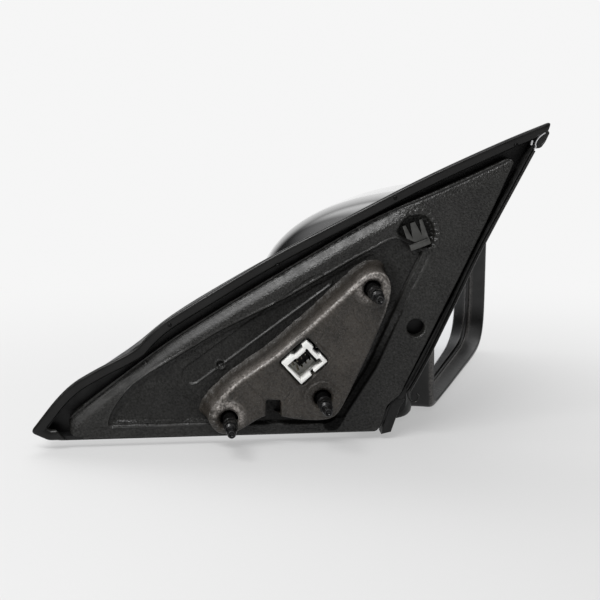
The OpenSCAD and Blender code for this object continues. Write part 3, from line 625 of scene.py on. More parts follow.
def foam_height(q, d):
    x, z = q[:, 0], q[:, 1]
    dt, _, along = near(q, top_path)
    e, _, _ = signed(q, pocket_line)
    du = near(q, upper_path)[0]
    ds = near(q, side_path)[0]
    upper = du < ds
    y = np.zeros(len(q))
    fade = 1 - step(42, 62, x)
    # rolled shoulder along the upper edge, with a crimped flange outside it
    roll = np.where(dt > 5, 0.62 * np.clip(8 - dt, 0, 3) ** 2 / 6, 0.93 + 0.62 * (5 - dt))
    y += np.minimum(roll, 3.1) * (0.25 + 0.75 * fade)
    y -= 0.35 * bump1(dt - 7.6, 2.0) * fade
    crimp = np.sin(along * TAU / 1.15 + 2.2 * hash_noise(q, 3.1, 3))
    y += 0.10 * crimp * (1 - step(0.3, 1.6, dt)) + 0.07 * crimp * fade * bump1(dt - 2.6, 1.3)
    y -= 0.35 * bump1(dt - 0.45, 0.45)
    y += 0.55 * bump1(dt - 1.35, 0.4)
    # edge rounding elsewhere
    y += 0.55 * np.clip(1 - d / 0.9, 0, 1) ** 2 * (dt > 2.5)
    y += 1.1 * np.clip(1 - d / 5, 0, 1) ** 2 * (x < -120)
    # slow fall from the shoulder to the rib, then the rib and the stepped recess
    inner = step(0, 14, -e) * upper
    y += 0.5 * (1 - inner) * upper * (e < 0)
    rib = bump1(e + 0.1, 0.5) * upper
    y -= 0.6 * rib
    y += upper * (0.5 + 0.7 * step(0.2, 0.9, e)) * (e >= 0)
    groove = upper * bump1(e - 2.6, 0.3)
    y += 0.5 * groove + upper * 0.9 * step(2.6, 3.6, e)
    side = ~upper
    y += side * (2.1 * step(-0.4, 0.4, e))
    y += side * (0.55 * bump1(e - 0.7, 0.5))
    ledge = np.where(side & (e < 0), 1 - step(3.4, 4.4, -e), 0.0) * (z > -30)
    y += 0.9 * ledge
    y -= 0.25 * side * bump1(-e - 4.7, 0.4) * (z > -30)
    y -= 0.16 * side * bump1(-e - 2.2, 0.3) * (z > -30)
    # long recess in the floor with a bright lower lip
    r, _, _ = signed(q, recess_line)
    y += 0.55 * step(-0.15, 0.25, r)
    low = (q - RECESS[0]) @ unit([0.59, -0.81]) > -1.5
    y -= np.where(low, 0.42, 0.08) * bump1(r + 0.45, 0.42)
    # low dome at the front of the floor
    k = ((x + 78.5) / 19) ** 2 + ((z + 19.5) / 12.5) ** 2
    y -= 1.15 * np.clip(1 - k, 0, 1) ** 0.8
    # clip recess with a puckered rim
    c = q - np.array(CLIP_AT)
    rad = np.linalg.norm(c * [1, 0.94], axis=1)
    ang = np.arctan2(c[:, 1], c[:, 0])
    pit = 1 - step(8.6, 10.8, rad + 0.5 * hash_noise(q, 2.2, 5))
    low = step(-0.4, 0.9, c[:, 1] + 0.45 * c[:, 0] + 4.5)
    y += 2.6 * pit * low
    folds = np.sin(ang * 23 + 1.5 * hash_noise(q, 2.5, 9)) * step(5.5, 8, rad) * (1 - step(11, 14.5, rad))
    y += 0.3 * folds * step(-0.6, 0.3, np.cos(ang - 0.6))
    y -= 0.35 * bump1(rad - 12.4, 0.5) * step(0.2, 0.7, np.cos(ang - 0.35))
    # creases that run from the clip towards the pad
    for a, b in (((47.5, 62.5), (33.5, 58)), ((55, 62), (41.5, 54)), ((47.5, 54.5), (43, 49))):
        f = near(q, even([a, b], 2, False))[0]
        y += 0.22 * bump1(f + 0.3 * hash_noise(q, 1.5, 11), 0.4)
    # torn tuck in the lower lip of the long recess
    f = np.linalg.norm(q - [-46.0, 0.8], axis=1)
    y += 1.5 * (1 - step(1.2, 2.0, f + 0.35 * hash_noise(q, 0.9, 4))) - 0.5 * bump1(f - 2.5, 0.5)
    # small nick in the shoulder
    f = np.linalg.norm((q - [-85.5, 3.2]) * [1, 0.5], axis=1)
    y += 0.35 * (1 - step(0.2, 0.8, f))
    # crimps along the recess's lower front edge
    crimp2 = np.sin(x * TAU / 1.3 + 2 * hash_noise(q, 2, 6))
    y += (0.28 * crimp2 - 0.25) * bump1(z + 31.9, 0.55) * step(-107, -104, x) * (1 - step(-84, -80, x))
    # lip of the locating hole
    f = np.linalg.norm(q - LOCATOR, axis=1)
    y += 0.35 * np.clip(1 - (f - LOCATOR_R) / 0.9, 0, 1) ** 2
    # gentle unevenness
    y += 0.05 * hash_noise(q, 7.0, 1) + 0.025 * hash_noise(q, 2.2, 2)
    return y


foam_region = Region(foam_line, [round_hole(LOCATOR, LOCATOR_R)])
v, f, top_count = sheet(foam_region, 0.5, foam_height, [(0, 3.0), (0, 5.9)])
flat = v[:, [0, 2]]
inner = signed(flat, pocket_line)[0]
# painted shade in colour and specular: inside the pocket, on the lower part of the side ledge, around the pad's foot
# and in the clip recess
dull = step(-0.5, 1.2, inner) * (0.25 + 0.3 * step(-50, -20, flat[:, 0]) * (1 - step(20, 34, flat[:, 0])))
ledge = (near(flat, side_path)[0] < 5) & (inner < 0)
dull = np.maximum(dull, ledge * (1 - step(-2, 22, flat[:, 1])) * 0.9)
near_pad = near(flat, ridge_path)[0]
dull = np.maximum(dull, 0.5 * (1 - step(5, 16, near_pad)))
dull = np.maximum(dull, 0.85 * (1 - step(8.0, 10.5, np.linalg.norm(flat - np.array(CLIP_AT), axis=1))))
edge_gap = near(flat, top_path)[0]
rib_gap = np.abs(signed(flat, pocket_line)[0] + 0.1)
upper_side = near(flat, upper_path)[0] < near(flat, side_path)[0]
lip_gap = np.abs(signed(flat, recess_line)[0] + 0.4)
low_lip = (flat - RECESS[0]) @ unit([0.59, -0.81]) > -1.5
along_x = 1 - 0.55 * step(-60, 20, flat[:, 0]) - 0.45 * step(30, 62, flat[:, 0])
gloss = bump1(edge_gap - 3.6, 2.4) * along_x * step(-131, -112, flat[:, 0])
gloss = np.maximum(gloss, bump1(edge_gap - 1.1, 0.5))
gloss = np.maximum(gloss, 0.9 * bump1(rib_gap, 0.5) * upper_side)
gloss = np.maximum(gloss, bump1(lip_gap, 0.5) * low_lip)
side_lines = np.maximum(bump1(rib_gap, 0.45), bump1(-inner - 4.7, 0.45))
gloss = np.maximum(gloss, 0.7 * side_lines * ~upper_side * (flat[:, 1] > -29))
right_edge = signed(flat, foam_line)[0]
gloss = np.maximum(gloss, bump1(right_edge - 0.4, 0.45) * (edge_gap > 3) * step(42, 50, flat[:, 0]))
build("gasket_skin", v, f, "base", "gasket_foam", ["foam_gasket"], sharp=60,
      attributes={"dull": dull, "gloss": gloss})

# ---------------------------------------------------------------- raised bracket pad
pad_line = soften(PAD, 7, 6)
plug_hole = soften(turned_square(PLUG_AT, PLUG_TURN, PLUG_SIZE[0] + 2.2, PLUG_SIZE[1] + 2.2), 2.5, 4)
notch = soften([(-22.4, -16.0), (-14.8, -16.4), (-13.8, -40), (-23.6, -40)], 1.0, 3)
upper_left = unit([-0.55, 0.83])


# painted highlight along the ridge and along the pad's upper right rim; lighter patches on two lobes, partly wear and
# partly painted highlight
def pad_wear_and_highlight(q):
    f = near(q, ridge_path)[0]
    band = bump1(f, 1.05) * (0.8 + 0.3 * hash_noise(q, 5, 21))
    lobe = np.linalg.norm(q - [-43.6, -25.0], axis=1)
    band = np.maximum(band, 0.9 * bump1(lobe - 6.6, 2.8) * step(-27, -22, q[:, 1] + 0.6 * (q[:, 0] + 44)))
    lobe = np.linalg.norm(q - STUDS[0], axis=1)
    band = np.maximum(band, 0.62 * bump1(lobe - 6.8, 2.2) * step(-9, 1, q[:, 1] - 42))
    rim = signed(q, pad_line)[0]
    band = np.maximum(band, 0.9 * bump1(rim - 0.5, 0.55) * step(16, 24, q[:, 0]) * step(20, 36, q[:, 1]))
    return np.clip(band, 0, 1)


def pad_height(q, d):
    y = np.full(len(q), -10.0)
    near_ridge, _, run = near(q, ridge_path)
    side = step(2, 8, 30 - near_ridge * 3)
    round_to = 1.6 + 2.8 * side
    t = np.clip(d / round_to, 0, 1)
    y += (0.9 + 0.9 * side) * (1 - np.sqrt(np.clip(1 - (1 - t) ** 2, 0, 1)))
    for k, c in enumerate(STUDS):
        r = np.linalg.norm(q - c, axis=1)
        wob = r + 0.25 * hash_noise(q, 3.0, 30 + k)
        y -= 0.32 * (1 - step(9.2, 9.9, wob))
        y += 0.22 * bump1(wob - 10.2, 0.3)
        y += 0.5 * (1 - step(5.0, 6.6, r + 0.5 * hash_noise(q, 1.3, 40 + k)))
    e, _, _ = signed(q, plug_hole)
    y -= 0.45 * bump1(-e - 1.0, 0.8)
    arc = soften([(-14.4, 5.6), (-10.6, 12.2), (-3.8, 17.6), (-0.5, 18.0), (5.8, 13.4), (11, 8)], 3, 4, False)
    y += 0.35 * bump1(near(q, arc)[0] - 0.9, 0.35)
    for path, depth in ((((-33.5, -3.4), (-32.4, -5.6), (-29.3, -10.8), (-23.2, -16.2)), 0.5),
                        (((-14.1, -17.1), (-9.6, -13.2), (-7.6, -8.6)), 0.35),
                        (((-11.8, -17.6), (-7.6, -14.4), (-5.6, -10.2)), 0.25),
                        (((24.3, 32.5), (24.6, 29), (27.5, 25.4), (33.8, 21.8)), 0.45),
                        (((20, 35), (21, 30.5), (23.5, 27.5)), 0.2),
                        (((12.4, 9), (16, 8.2), (18.5, 8.6)), 0.25)):
        f = near(q, soften(path, 3, 4, False))[0]
        y += depth * bump1(f + 0.12 * hash_noise(q, 1.2, 8), 0.34)
    # creases over the forward lobe, radial from its stud
    ang, rad = polar(q, STUDS[1])
    fold = np.sin(ang * 15 + 2.6 * hash_noise(q, 4, 14)) * step(5.5, 8, rad) * (1 - step(13, 20, rad))
    y += 0.38 * fold * step(0.0, 0.6, -np.cos(ang + 0.7))
    ang, rad = polar(q, STUDS[0])
    y += 0.12 * np.sin(ang * 19 + 2 * hash_noise(q, 3, 15)) * step(4.5, 6, rad) * (1 - step(7.5, 9, rad))
    ang, rad = polar(q, STUDS[2])
    y += 0.1 * np.sin(ang * 21 + 2 * hash_noise(q, 3, 16)) * step(4.5, 6, rad) * (1 - step(7.5, 9, rad))
    across = np.sin(run * TAU / 1.7 + 3 * hash_noise(q, 3.5, 17))
    y += 0.07 * across * bump1(near_ridge - 1.0, 2.2)
    y += 0.14 * hash_noise(q, 6.5, 18) + 0.06 * hash_noise(q, 2.1, 19) + 0.03 * hash_noise(q, 0.9, 20)
    return y


def wall_width(q, normal):
    """How far the pad's wall spreads: widest on its upper left side, none at its openings."""
    spread = 1.3 + 6.6 * step(0.05, 0.75, normal @ upper_left)
    return np.where(signed(q, pad_line)[0] < 0.6, spread, -0.0)


skirt = []
LEVELS, WALL_FOOT = 14, 3.4  # rings of the wall, and the depth of its foot
for j in range(1, LEVELS + 1):
    t = j / LEVELS

    def out(q, normal, t=t):
        w = wall_width(q, normal)
        crease = np.sin(near(q, ridge_path)[2] * TAU / 3.4 + 2.4 * hash_noise(q, 4.0, 23))
        lobe = 1 - step(14, 24, np.linalg.norm(q - STUDS[1], axis=1))
        wave = (0.28 * hash_noise(q + normal * t * 9, 2.4, 22) + 0.1 * lobe * crease) * math.sin(t * math.pi)
        ease = 0.55 * t + 0.45 * t**2.2
        return w * ease + np.where(w > 0, wave, 0)

    def depth(_q, _normal, y0, t=t):
        return y0 + (WALL_FOOT - y0) * math.sin(t * math.pi / 2) ** 0.9

    skirt.append((out, depth))
pad_region = Region(pad_line, [round_hole(c, 4.8) for c in STUDS] + [plug_hole, notch])
v, f, top_count = sheet(pad_region, 0.42, pad_height, skirt)
ring_count = (len(v) - top_count) // LEVELS
face = v[:top_count][:, [0, 2]]
ring = v[top_count:top_count + ring_count][:, [0, 2]]


def down_wall(on_face, on_ring, fade):
    """Values for the pad's face, then for each ring of its wall."""
    return np.concatenate([on_face] + [on_ring * fade(j) for j in range(LEVELS)])


wear = down_wall(pad_wear_and_highlight(face), pad_wear_and_highlight(ring), lambda j: max(0, 1 - j / 4.0))
by_lobe = 1 - step(12, 24, np.linalg.norm(ring - STUDS[1], axis=1))
# painted shade: the pad's wall darker towards its foot, little by the forward lobe
dull = down_wall(np.zeros(top_count), 1 - 0.9 * by_lobe, lambda j: min(0.45, 0.12 * j))
gloss = down_wall(bump1(near(face, ridge_path)[0], 1.3), np.zeros(ring_count), lambda j: 0)
build("pad_skin", v, f, "base", "bracket_skin", ["bracket_pad"], sharp=70,
      attributes={"wear": wear, "dull": dull, "gloss": gloss})

# ---------------------------------------------------------------- casting under the pad


def cut(ob, verts, faces):
    """Cuts a closed form out of ob and keeps ob's one material."""
    me = bpy.data.meshes.new("cutter")
    me.from_pydata((np.asarray(verts) * MM).tolist(), [], [list(map(int, q)) for q in faces])
    bm = bmesh.new()
    bm.from_mesh(me)
    bmesh.ops.recalc_face_normals(bm, faces=bm.faces)
    bm.to_mesh(me)
    bm.free()
    tool = bpy.data.objects.new("cutter", me)
    scene.collection.objects.link(tool)
    mod = ob.modifiers.new("cut", "BOOLEAN")
    mod.operation, mod.object, mod.solver = "DIFFERENCE", tool, "EXACT"
    bpy.context.view_layer.update()
    made = bpy.data.meshes.new_from_object(ob.evaluated_get(bpy.context.evaluated_depsgraph_get()))
    ob.modifiers.remove(mod)
    ob.data = made
    bpy.data.objects.remove(tool)
    ob.data.shade_smooth()
    ob.data.set_sharp_from_angle(angle=math.radians(35))


def copy_of(name, node):
    """A new mesh with a CAD node's form, to be worked further."""
    me = frame["nodes"][node].data
    verts = np.array([tuple(p.co) for p in me.vertices]) / MM
    return build(name, verts, [tuple(p.vertices) for p in me.polygons], "base", slot_of[node], [node], sharp=35)


casting = copy_of("bracket_casting", "base_bracket")
far_ring, near_ring = offset(pad_line, -40), offset(pad_line, 1.2)
walls = ((far_ring, -14), (far_ring, 1.5), (near_ring, 1.5), (near_ring, -14))
cut(casting, *loft([at_depth(r, y) for r, y in walls], wrap=True))

# ---------------------------------------------------------------- door seal, window strip, pins and end clip
profile = [(0.35, 0.9), (0.0, 0.55), (0.0, -0.35), (0.18, -0.85), (0.7, -1.25), (1.5, -1.42),
           (3.0, -1.3), (4.4, -1.15), (5.0, -0.85), (5.5, -0.2), (5.8, 0.5), (5.8, 0.9)]
radii = [1, 1.6, 3, 22, 8, 5, 4, 4, 6, 8, 25, 20, 20, 25, 3.2, 1]
rings = []
for o, y in profile:
    line = offset(SEAL, -o, False)
    r = [max(0.4, a - (o * 0.3 if a < 5 else 0)) for a in radii]
    line = soften(line, r, 9, False)
    line[0] += [5.2 * (1 - max(o, 0) / 5.8), 0]  # the end is cut on a slant
    rings.append(at_depth(line, y))
v, f = loft(list(np.array(rings).transpose(1, 0, 2)), caps=(True, True))
build("door_seal_strip", v, f, "base", "seal_rubber", ["door_seal"], sharp=50)

strip = [(121.3, 114.0), (93.3, 60.1), (81.5, 33.9), (67.2, 2.9), (60.6, -9.8), (57.0, -16.2)]
bead = [(0.0, 0.6), (0.0, -0.9), (0.25, -1.25), (0.6, -1.25), (0.9, -0.8), (1.4, -0.35), (1.9, -0.6), (2.2, -1.1),
        (2.55, -1.1), (2.8, -0.7), (2.8, 7.9), (1.2, 7.9), (0.8, 0.8)]
parts = [sweep_flat(strip, bead, smooth=12)]
hook = [(56.8, -14.8), (55.6, -17.0), (56.4, -20.6), (58.6, -22.0), (60.4, -21.4), (61.2, -19.0), (60.2, -18.2)]
leaf = [(0.0, 0.5), (0.0, -1.3), (0.3, -1.5), (0.7, -1.3), (0.8, 0.5)]
parts.append(sweep_flat(hook, leaf, smooth=1.6))
tab = soften([(121.0, 116.2), (121.4, 118.2), (122.6, 120.8), (124.6, 122.6), (127.6, 123.8), (125.6, 119.4),
              (123.6, 116.6)], 0.7, 4)
parts.append(stack((tab, 0.9), (tab, -0.9), (offset(tab, 0.25), -1.15), (offset(tab, 0.9), -1.05)))
build("window_seal_strip", *merge(*parts), "base", "seal_rubber", ["window_seal"], sharp=40)

pin_head = [(0.3, -1.95), (0.75, -1.85), (1.05, -1.6), (1.15, -1.3), (1.15, 0.8), (0.4, 0.85)]
heads = [turned(pin_head, c, 32) for c in PINS]
build("seal_pin_heads", *merge(*heads), "base", "collar_nylon", ["seal_pins"])

clip_path = soften([(126.0, 123.8), (123.7, 122.3), (121.8, 120.3), (120.7, 117.6), (121.4, 116.3), (120.2, 115.2)],
                   1.6, 5, False)
side_a, side_b = offset(clip_path, 0.28, False), offset(clip_path, -0.28, False)
loop = np.vstack([side_a, side_b[::-1]])
tooth = soften([(118.3, 117.4), (118.9, 119.9), (119.7, 119.6), (119.2, 117.2)], 0.3, 3)
v, f = merge(stack((loop, 0.8), (loop, -1.75), (loop * 0.999 + loop.mean(0) * 0.001, -1.9)),
             stack((tooth, 0.8), (tooth, -1.5)))
build("end_clip_sheet", v, f, "base", "bright_steel", ["seal_end_clip"], sharp=40)

# ---------------------------------------------------------------- studs and collars
studs, collars = [], []
count = 48
g = np.arange(count) * TAU / count
flats = 1 / np.maximum(np.cos((g + 0.2) % (TAU / 6) - TAU / 12), 0.8)
for c in STUDS:
    prof = [(0.15, -34.7), (0.7, -34.75), (1.05, -34.95), (1.35, -35.4), (1.85, -35.5), (2.15, -35.2), (2.3, -34.6),
            (2.3, -31.2), (2.5, -30.7), (2.9, -30.1)]
    y = -30.0
    while y < -25.0:
        prof += [(2.98, y + 0.1), (2.98, y + 0.35), (2.72, y + 0.58), (2.72, y + 0.7)]
        y += 0.85
    prof += [(2.75, -24.9), (2.75, 9.3)]
    studs.append(turned(prof, c, count))
    ring = [(2.9, -24.4), (3.3, -24.4), (3.55, -24.1), (3.55, -19.4), (3.6, -19.2), (3.9, -18.9), (3.95, -17.3),
            (3.7, -16.9), (3.3, -16.4), (3.3, -12.0), (3.5, -11.0), (3.5, -3.0), (2.9, -3.0)]
    rows = []
    for j, (r, yy) in enumerate(ring):
        hexed = r * flats * 0.93 if 1 <= j <= 3 else np.full(count, r)
        rows.append(np.stack([c[0] + hexed * np.cos(g), np.full(count, yy), c[1] + hexed * np.sin(g)], 1))
    collars.append(loft(rows, wrap=True))
build("stud_bodies", *merge(*studs), "base", "black_steel", ["mounting_studs"], sharp=40)
build("stud_collar_rings", *merge(*collars), "base", "collar_nylon", ["stud_collars"], sharp=35)

# ---------------------------------------------------------------- plug


def prism(outline, y0, y1, round_to=0.35):
    """A door-plane prism whose front edge is rounded."""
    spec = ((round_to, y0), (round_to * 0.3, y0 + round_to * 0.3), (0, y0 + round_to), (0, y1))
    return stack(*[(offset(outline, o), y) for o, y in spec])


W, H = PLUG_SIZE
FRONT, FLOOR = -11.6, 1.5
in_plug = partial(place2, PLUG_AT, PLUG_TURN)
in_clip = partial(place2, CLIP_AT, CLIP_TURN)
outer = in_plug([(-W / 2, -H / 2), (W / 2, -H / 2), (W / 2, -3.2), (W / 2 - 1.5, -2.7), (W / 2 - 1.5, 2.5),
                 (W / 2 - 0.2, 3.2), (W / 2 - 0.6, H / 2), (5.2, H / 2), (4.6, H / 2 - 1.9), (-1.4, H / 2 - 2.0),
                 (-2.6, H / 2), (-W / 2, H / 2)])
inner = in_plug([(-W / 2 + 1.4, -H / 2 + 1.4), (W / 2 - 1.9, -H / 2 + 1.4), (W / 2 - 1.9, -3.6), (W / 2 - 3.4, -3.3),
                 (W / 2 - 3.4, 2.8), (W / 2 - 3.2, 3.8), (W / 2 - 3.4, H / 2 - 3.0), (5.0, H / 2 - 3.0),
                 (4.4, H / 2 - 3.6), (-1.2, H / 2 - 3.6), (-2.4, H / 2 - 3.0), (-W / 2 + 1.4, H / 2 - 3.0)])
shroud = stack(*[(offset(line, o), y) for line, o, y in (
    (outer, 0, 9.3), (outer, 0, FRONT + 0.35), (outer, 0.1, FRONT + 0.1), (outer, 0.35, FRONT),
    (inner, -0.3, FRONT), (inner, -0.08, FRONT + 0.1), (inner, 0, FRONT + 0.35), (inner, 0, FLOOR))])
shroud = build("plug_shroud", *shroud, "base", "connector_white", ["connector_housing"], sharp=30)
slot_box = in_plug([(-1.6, -H / 2 - 1), (0.5, -H / 2 - 1), (0.5, -H / 2 + 2.2), (-1.6, -H / 2 + 2.2)])
cut(shroud, *prism(slot_box, FRONT - 2, -3.0, 0.05))
pins = []
for i in range(4):
    for j in range(2):
        c = in_plug([(i * 2.8 - 5.6, j * 4 - 2)])[0]
        sq = soften(turned_square(c, PLUG_TURN, 1.0, 0.8), 0.2, 2)
        pins.append(stack((offset(sq, 0.3), -8.0), (sq, -7.2), (sq, 6.0)))
build("plug_blades", *merge(*pins), "base", "contact_metal", ["connector_pins"], sharp=40)
blocks = [prism(in_plug([(x0, z0), (x1, z0), (x1, z1), (x0, z1)]), y0, 1.6, 0.2) for x0, x1, z0, z1, y0 in (
    (-4.4, 5.3, -2.6, 4.6, -1.5), (4.1, 5.5, -4.6, 4.4, -8.4), (-1.8, -0.8, 2.6, 4.2, -9.2),
    (1.0, 2.2, 2.8, 4.2, -9.2), (-4.4, -3.6, 2.8, 4.2, -7.6))]
build("plug_core", *merge(*blocks), "base", "collar_nylon", [], sharp=30)

# ---------------------------------------------------------------- retaining clip
plate = in_clip([(-5.6, -7.0), (5.6, -7.0), (5.6, 6.4), (3.9, 6.4), (2.7, -1.6), (1.4, 6.4), (-1.2, 6.4),
                 (-2.6, -1.6), (-3.9, 6.4), (-5.6, 6.4)])
lip = in_clip([(-5.6, -7.2), (5.6, -7.2), (5.6, -4.2), (-5.6, -4.2)])
bend = in_clip([(-5.6, -7.4), (5.6, -7.4), (5.6, -6.8), (-5.6, -6.8)])
v, f = merge(prism(plate, 0.9, 1.7, 0.2), prism(lip, -0.85, -0.15, 0.25), prism(bend, -0.85, 1.7, 0.2))
clip = build("clip_spring", v, f, "base", "black_steel", ["retaining_clip"], sharp=30)
clip.data.materials[0] = MATERIALS["clip_finish"]

# ---------------------------------------------------------------- sail cover with its pedestal
cover_line = soften(COVER, [3, 3, 2, 2, 2, 40, 2.5, 25, 25, 25, 25, 25, 8, 8, 25], 5)


def dome(q, d):
    t = np.clip(d / 5.0, 0, 1)
    return 9.0 + 3.0 * np.sqrt(np.clip(1 - (1 - t) ** 2, 0, 1)) + 0.0 * q[:, 0]


v, f, top_count = sheet(Region(cover_line), 1.5, dome, [(0, 1.0), (-1.2, 1.0), (-2.4, 1.2), (-2.5, 8.8)])
back = sheet(Region(offset(cover_line, 2.5)), 3.0, lambda q, d: np.full(len(q), 8.8), [])
fin = prism(np.array([(41.2, -40.4), (46.6, -39.2), (49.2, -31.5), (51.6, -24.6), (54.0, -21.2), (49.4, -20.4),
                      (46.2, -24.0), (43.6, -31.0)]), 0.2, 9.0, 0.5)
foot = []
for t in np.linspace(0, 1, 26):
    y = 11.0 + (AXIS[1] - 11.0) * t
    ease = t * t * (3 - 2 * t)
    w, h = 15.5 + 1.4 * ease + 5.0 * (1 - t) ** 4, 11.9 + 4.5 * ease + 1.0 * (1 - t) ** 4
    cx, cz = 36 + (AXIS[0] - 36) * ease, -20.0 - 4.3 * ease
    g = np.arange(72) * TAU / 72
    e = 2 / 5.0
    foot.append(np.stack([cx + w * signed_pow(np.cos(g), e), np.full(72, y), cz + h * signed_pow(np.sin(g), e)], 1))
disc = [level_ring(r, z) for r, z in ((0.5, -40.9), (12, -40.9), (15.6, -40.4), (16.7, -39.0), (17, -37.2),
                                      (17, -9.6), (16.6, -8.2), (15.4, -7.55), (0.5, -7.5))]
v, f = merge((v, f), back[:2], fin, loft(foot, caps=(True, True)), loft(disc, caps=(True, True)))
build("sail_cover_skin", v, f, "base", "cover_plastic", ["sail_cover"], sharp=40)

# ---------------------------------------------------------------- head: shell, bezel and glass
RING = 224
PIVOT_WELLS, WELL_FOOT = ((19.5, -5.0), (17.3, 44)), -60  # radius and top of each step, and their foot


def solid_from(profile):
    return [head_ring(n, w, RING) for n, w in profile]


def nose(w, end_n, steps):
    out = []
    for i in range(steps + 1):
        top = math.degrees(math.asin(min(1, -end_n / (HEAD_D - w))))
        s = math.sin(math.radians(89.2 - i * (89.2 - top) / steps))
        out.append((-s * (HEAD_D - w), w))
    return out


def well_cutter(r, z0, z1):
    return loft([level_ring(r, z) for z in (z0, z1)], caps=(True, True))


outer_shell = nose(0, SPLIT - 2.0, 60) + [(SPLIT - 1.0, 0.0), (SPLIT - 0.5, 0.12), (SPLIT - 0.3, 0.45)]
inner_shell = list(reversed(nose(WALL, SPLIT - 0.3, 30)))
v, f = loft(solid_from(outer_shell + inner_shell), caps=(True, True))
shell = build("head_cap", v, f, "head", "gloss_black", ["head_shell"], sharp=30)
for r, top in PIVOT_WELLS:
    cut(shell, *well_cutter(r, WELL_FOOT, top))

lip = [(SPLIT, 0.5), (SPLIT + 0.25, 0.12), (SPLIT + 1.0, 0.0), (-28, 0.0), (-22, 0.0), (-16, 0.0), (-10, 0.0),
       (-5, 0.0), (-3.0, 0.0), (-1.7, 0.1), (-0.75, 0.4), (-0.2, 0.95), (0.0, 1.6), (-0.02, 2.4), (-0.1, 3.0),
       (-0.5, 3.4), (-1.1, 3.65), (-4.0, 4.7), (-7.0, 5.7), (-8.6, 6.2), (-8.8, 6.6), (-9.4, 6.9), (-9.7, 6.7),
       (-10.2, 6.6), (-10.6, 6.9), (-11.6, 7.1), (-11.9, 6.6), (-12.0, 3.0), (SPLIT + 2, 2.6), (SPLIT, 2.6)]
v, f = loft(solid_from(lip), wrap=True)
# painted highlight: light lines on the rim's lip and on its inner step
rubbed_and_lit_mask = np.repeat([0.30 if -0.9 < n <= 0.0 and w < 2.0 else (0.22 if -9.8 < n < -8.5 else 0.0) for n, w in lip], RING)
bezel = build("bezel_surround", v, f, "head", "bezel_plastic", ["bezel"], sharp=40, attributes={"wear": rubbed_and_lit_mask})
for r, top in PIVOT_WELLS:
    cut(bezel, *well_cutter(r, WELL_FOOT, top))

edge = head_ring(-10, 10, RING)
centre = edge.mean(0)
rings = []
for share, drop in ((0.0005, 0.55), (0.2, 0.53), (0.4, 0.46), (0.6, 0.35), (0.75, 0.22), (0.88, 0.1), (0.95, 0.02),
                    (0.982, -0.02), (0.993, -0.14), (0.998, -0.4), (1.0, -0.8), (1.0, -1.9), (0.99, -1.95),
                    (0.6, -1.95), (0.0005, -1.95)):
    rings.append(centre + (edge - centre) * share + N_DIR * (drop - 0.56))
v, f = loft(rings, caps=(True, True))
build("glass_lens", v, f, "glass", "mirror_face", ["mirror_glass"], sharp=50)

# ---------------------------------------------------------------- floor, light and camera
floor_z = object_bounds()[0].z - FLOOR_GAP
me = bpy.data.meshes.new("studio_floor")
corners = [(x * FLOOR_SIZE, y * FLOOR_SIZE, floor_z) for x, y in ((-1, -1), (1, -1), (1, 1), (-1, 1))]
me.from_pydata(corners, [], [(0, 1, 2, 3)])
floor = bpy.data.objects.new("studio_floor", me)
scene.collection.objects.link(floor)
mat = bpy.data.materials.new("studio_floor")
mat.use_nodes = True
nt = mat.node_tree
n, l = nt.nodes, nt.links
bsdf = n["Principled BSDF"]
bsdf.inputs["Roughness"].default_value = 0.6
bsdf.inputs["Specular IOR Level"].default_value = 0.1
bsdf.inputs["Emission Color"].default_value = (1.0, 1.0, 1.0, 1)
bsdf.inputs["Emission Strength"].default_value = FLOOR_GLOW
coord = n.new("ShaderNodeTexCoord")
cloud = n.new("ShaderNodeTexNoise")
cloud.inputs["Scale"].default_value = 3.0
l.new(coord.outputs["Object"], cloud.inputs["Vector"])
l.new(ramp_node(nt, cloud.outputs["Fac"], 0, 1, 0.225, 0.235), bsdf.inputs["Base Color"])
length = n.new("ShaderNodeVectorMath")
length.operation = "LENGTH"
shift = n.new("ShaderNodeMapping")
shift.inputs["Location"].default_value = (0.0, 0.15, 0.0)
l.new(coord.outputs["Object"], shift.inputs["Vector"])
l.new(shift.outputs["Vector"], length.inputs[0])
far = ramp_node(nt, length.outputs["Value"], 0.16, 0.6, 0, 1, smooth=True)
glow = n.new("ShaderNodeEmission")
glow.inputs["Color"].default_value = (FAR_GLOW, FAR_GLOW, FAR_GLOW, 1)
blend = n.new("ShaderNodeMixShader")
l.new(far, blend.inputs["Fac"])
l.new(bsdf.outputs["BSDF"], blend.inputs[1])
l.new(glow.outputs["Emission"], blend.inputs[2])
l.new(blend.outputs["Shader"], n["Material Output"].inputs["Surface"])
me.materials.append(mat)

world = bpy.data.worlds.new("studio")
world.use_nodes = True
wn, wl = world.node_tree.nodes, world.node_tree.links
bg = wn["Background"]
coord = wn.new("ShaderNodeTexCoord")
axes = wn.new("ShaderNodeSeparateXYZ")
wl.new(coord.outputs["Generated"], axes.inputs[0])
world_ramp, world_math = partial(ramp_node, world.node_tree, smooth=True), partial(sum_node, world.node_tree)

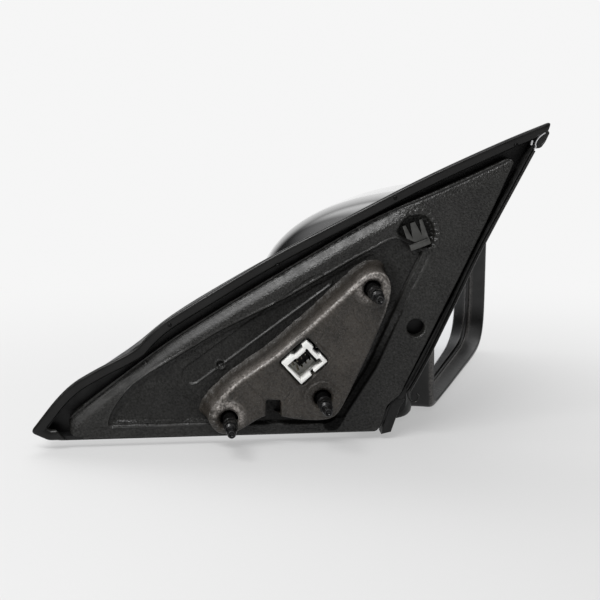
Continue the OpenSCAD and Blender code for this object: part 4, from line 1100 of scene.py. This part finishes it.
# a white cove behind and above, a dark room on the camera's side
sky = world_ramp(axes.outputs["Z"], 0.3, 0.9, 0.0, WORLD_TOP)
cove = world_ramp(axes.outputs["Y"], 0.80, 0.98, 0.0, WORLD_BACK)
path = wn.new("ShaderNodeLightPath")
overhead = world_math("MULTIPLY", world_ramp(axes.outputs["Y"], 0.05, 0.45, 0.0, 1.0),
                      world_ramp(axes.outputs["Z"], 0.25, 0.6, 0.0, OVERHEAD_SHINE))
overhead = world_math("MULTIPLY", overhead, world_ramp(axes.outputs["X"], -0.52, -0.12, 0.0, 1.0))
shine = world_math("MULTIPLY", overhead, path.outputs["Is Glossy Ray"])
room = world_math("ADD", world_math("MAXIMUM", world_math("MAXIMUM", sky, cove), shine), WORLD_ROOM)
wl.new(mix_node(world.node_tree, path.outputs["Is Camera Ray"], room, BACKDROP), bg.inputs["Color"])
bg.inputs["Strength"].default_value = 1.0
scene.world = world


def area(name, at, size, size_y, power):
    """A softbox that looks at the part."""
    data = bpy.data.lights.new(name, "AREA")
    data.shape, data.size, data.size_y, data.energy = "RECTANGLE", size, size_y, power
    ob = bpy.data.objects.new(name, data)
    scene.collection.objects.link(ob)
    ob.location = at
    ob.rotation_mode = "QUATERNION"
    ob.rotation_quaternion = (Vector(LIGHT_TARGET) - Vector(at)).to_track_quat("-Z", "Y")
    return ob


back = area("back_bank", (-0.2, 0.6, 0.75), 0.9, 0.45, 7.0)
back.visible_glossy = False
area("top_strip", (-0.27, -0.36, 0.56), 0.5, 0.2, 5.5)
area("front_left", (-0.75, -0.35, 0.42), 0.12, 0.3, 0.6)

cam = bpy.data.objects.new("camera", bpy.data.cameras.new("camera"))
scene.collection.objects.link(cam)
cam.data.lens, cam.data.sensor_width = LENS, SENSOR
cam.location = Vector(CAMERA_AT) * MM
cam.rotation_mode = "QUATERNION"
cam.rotation_quaternion = (Vector(CAMERA_AIM) * MM - cam.location).to_track_quat("-Z", "Y")
scene.camera = cam
scene.view_settings.view_transform = "Standard"
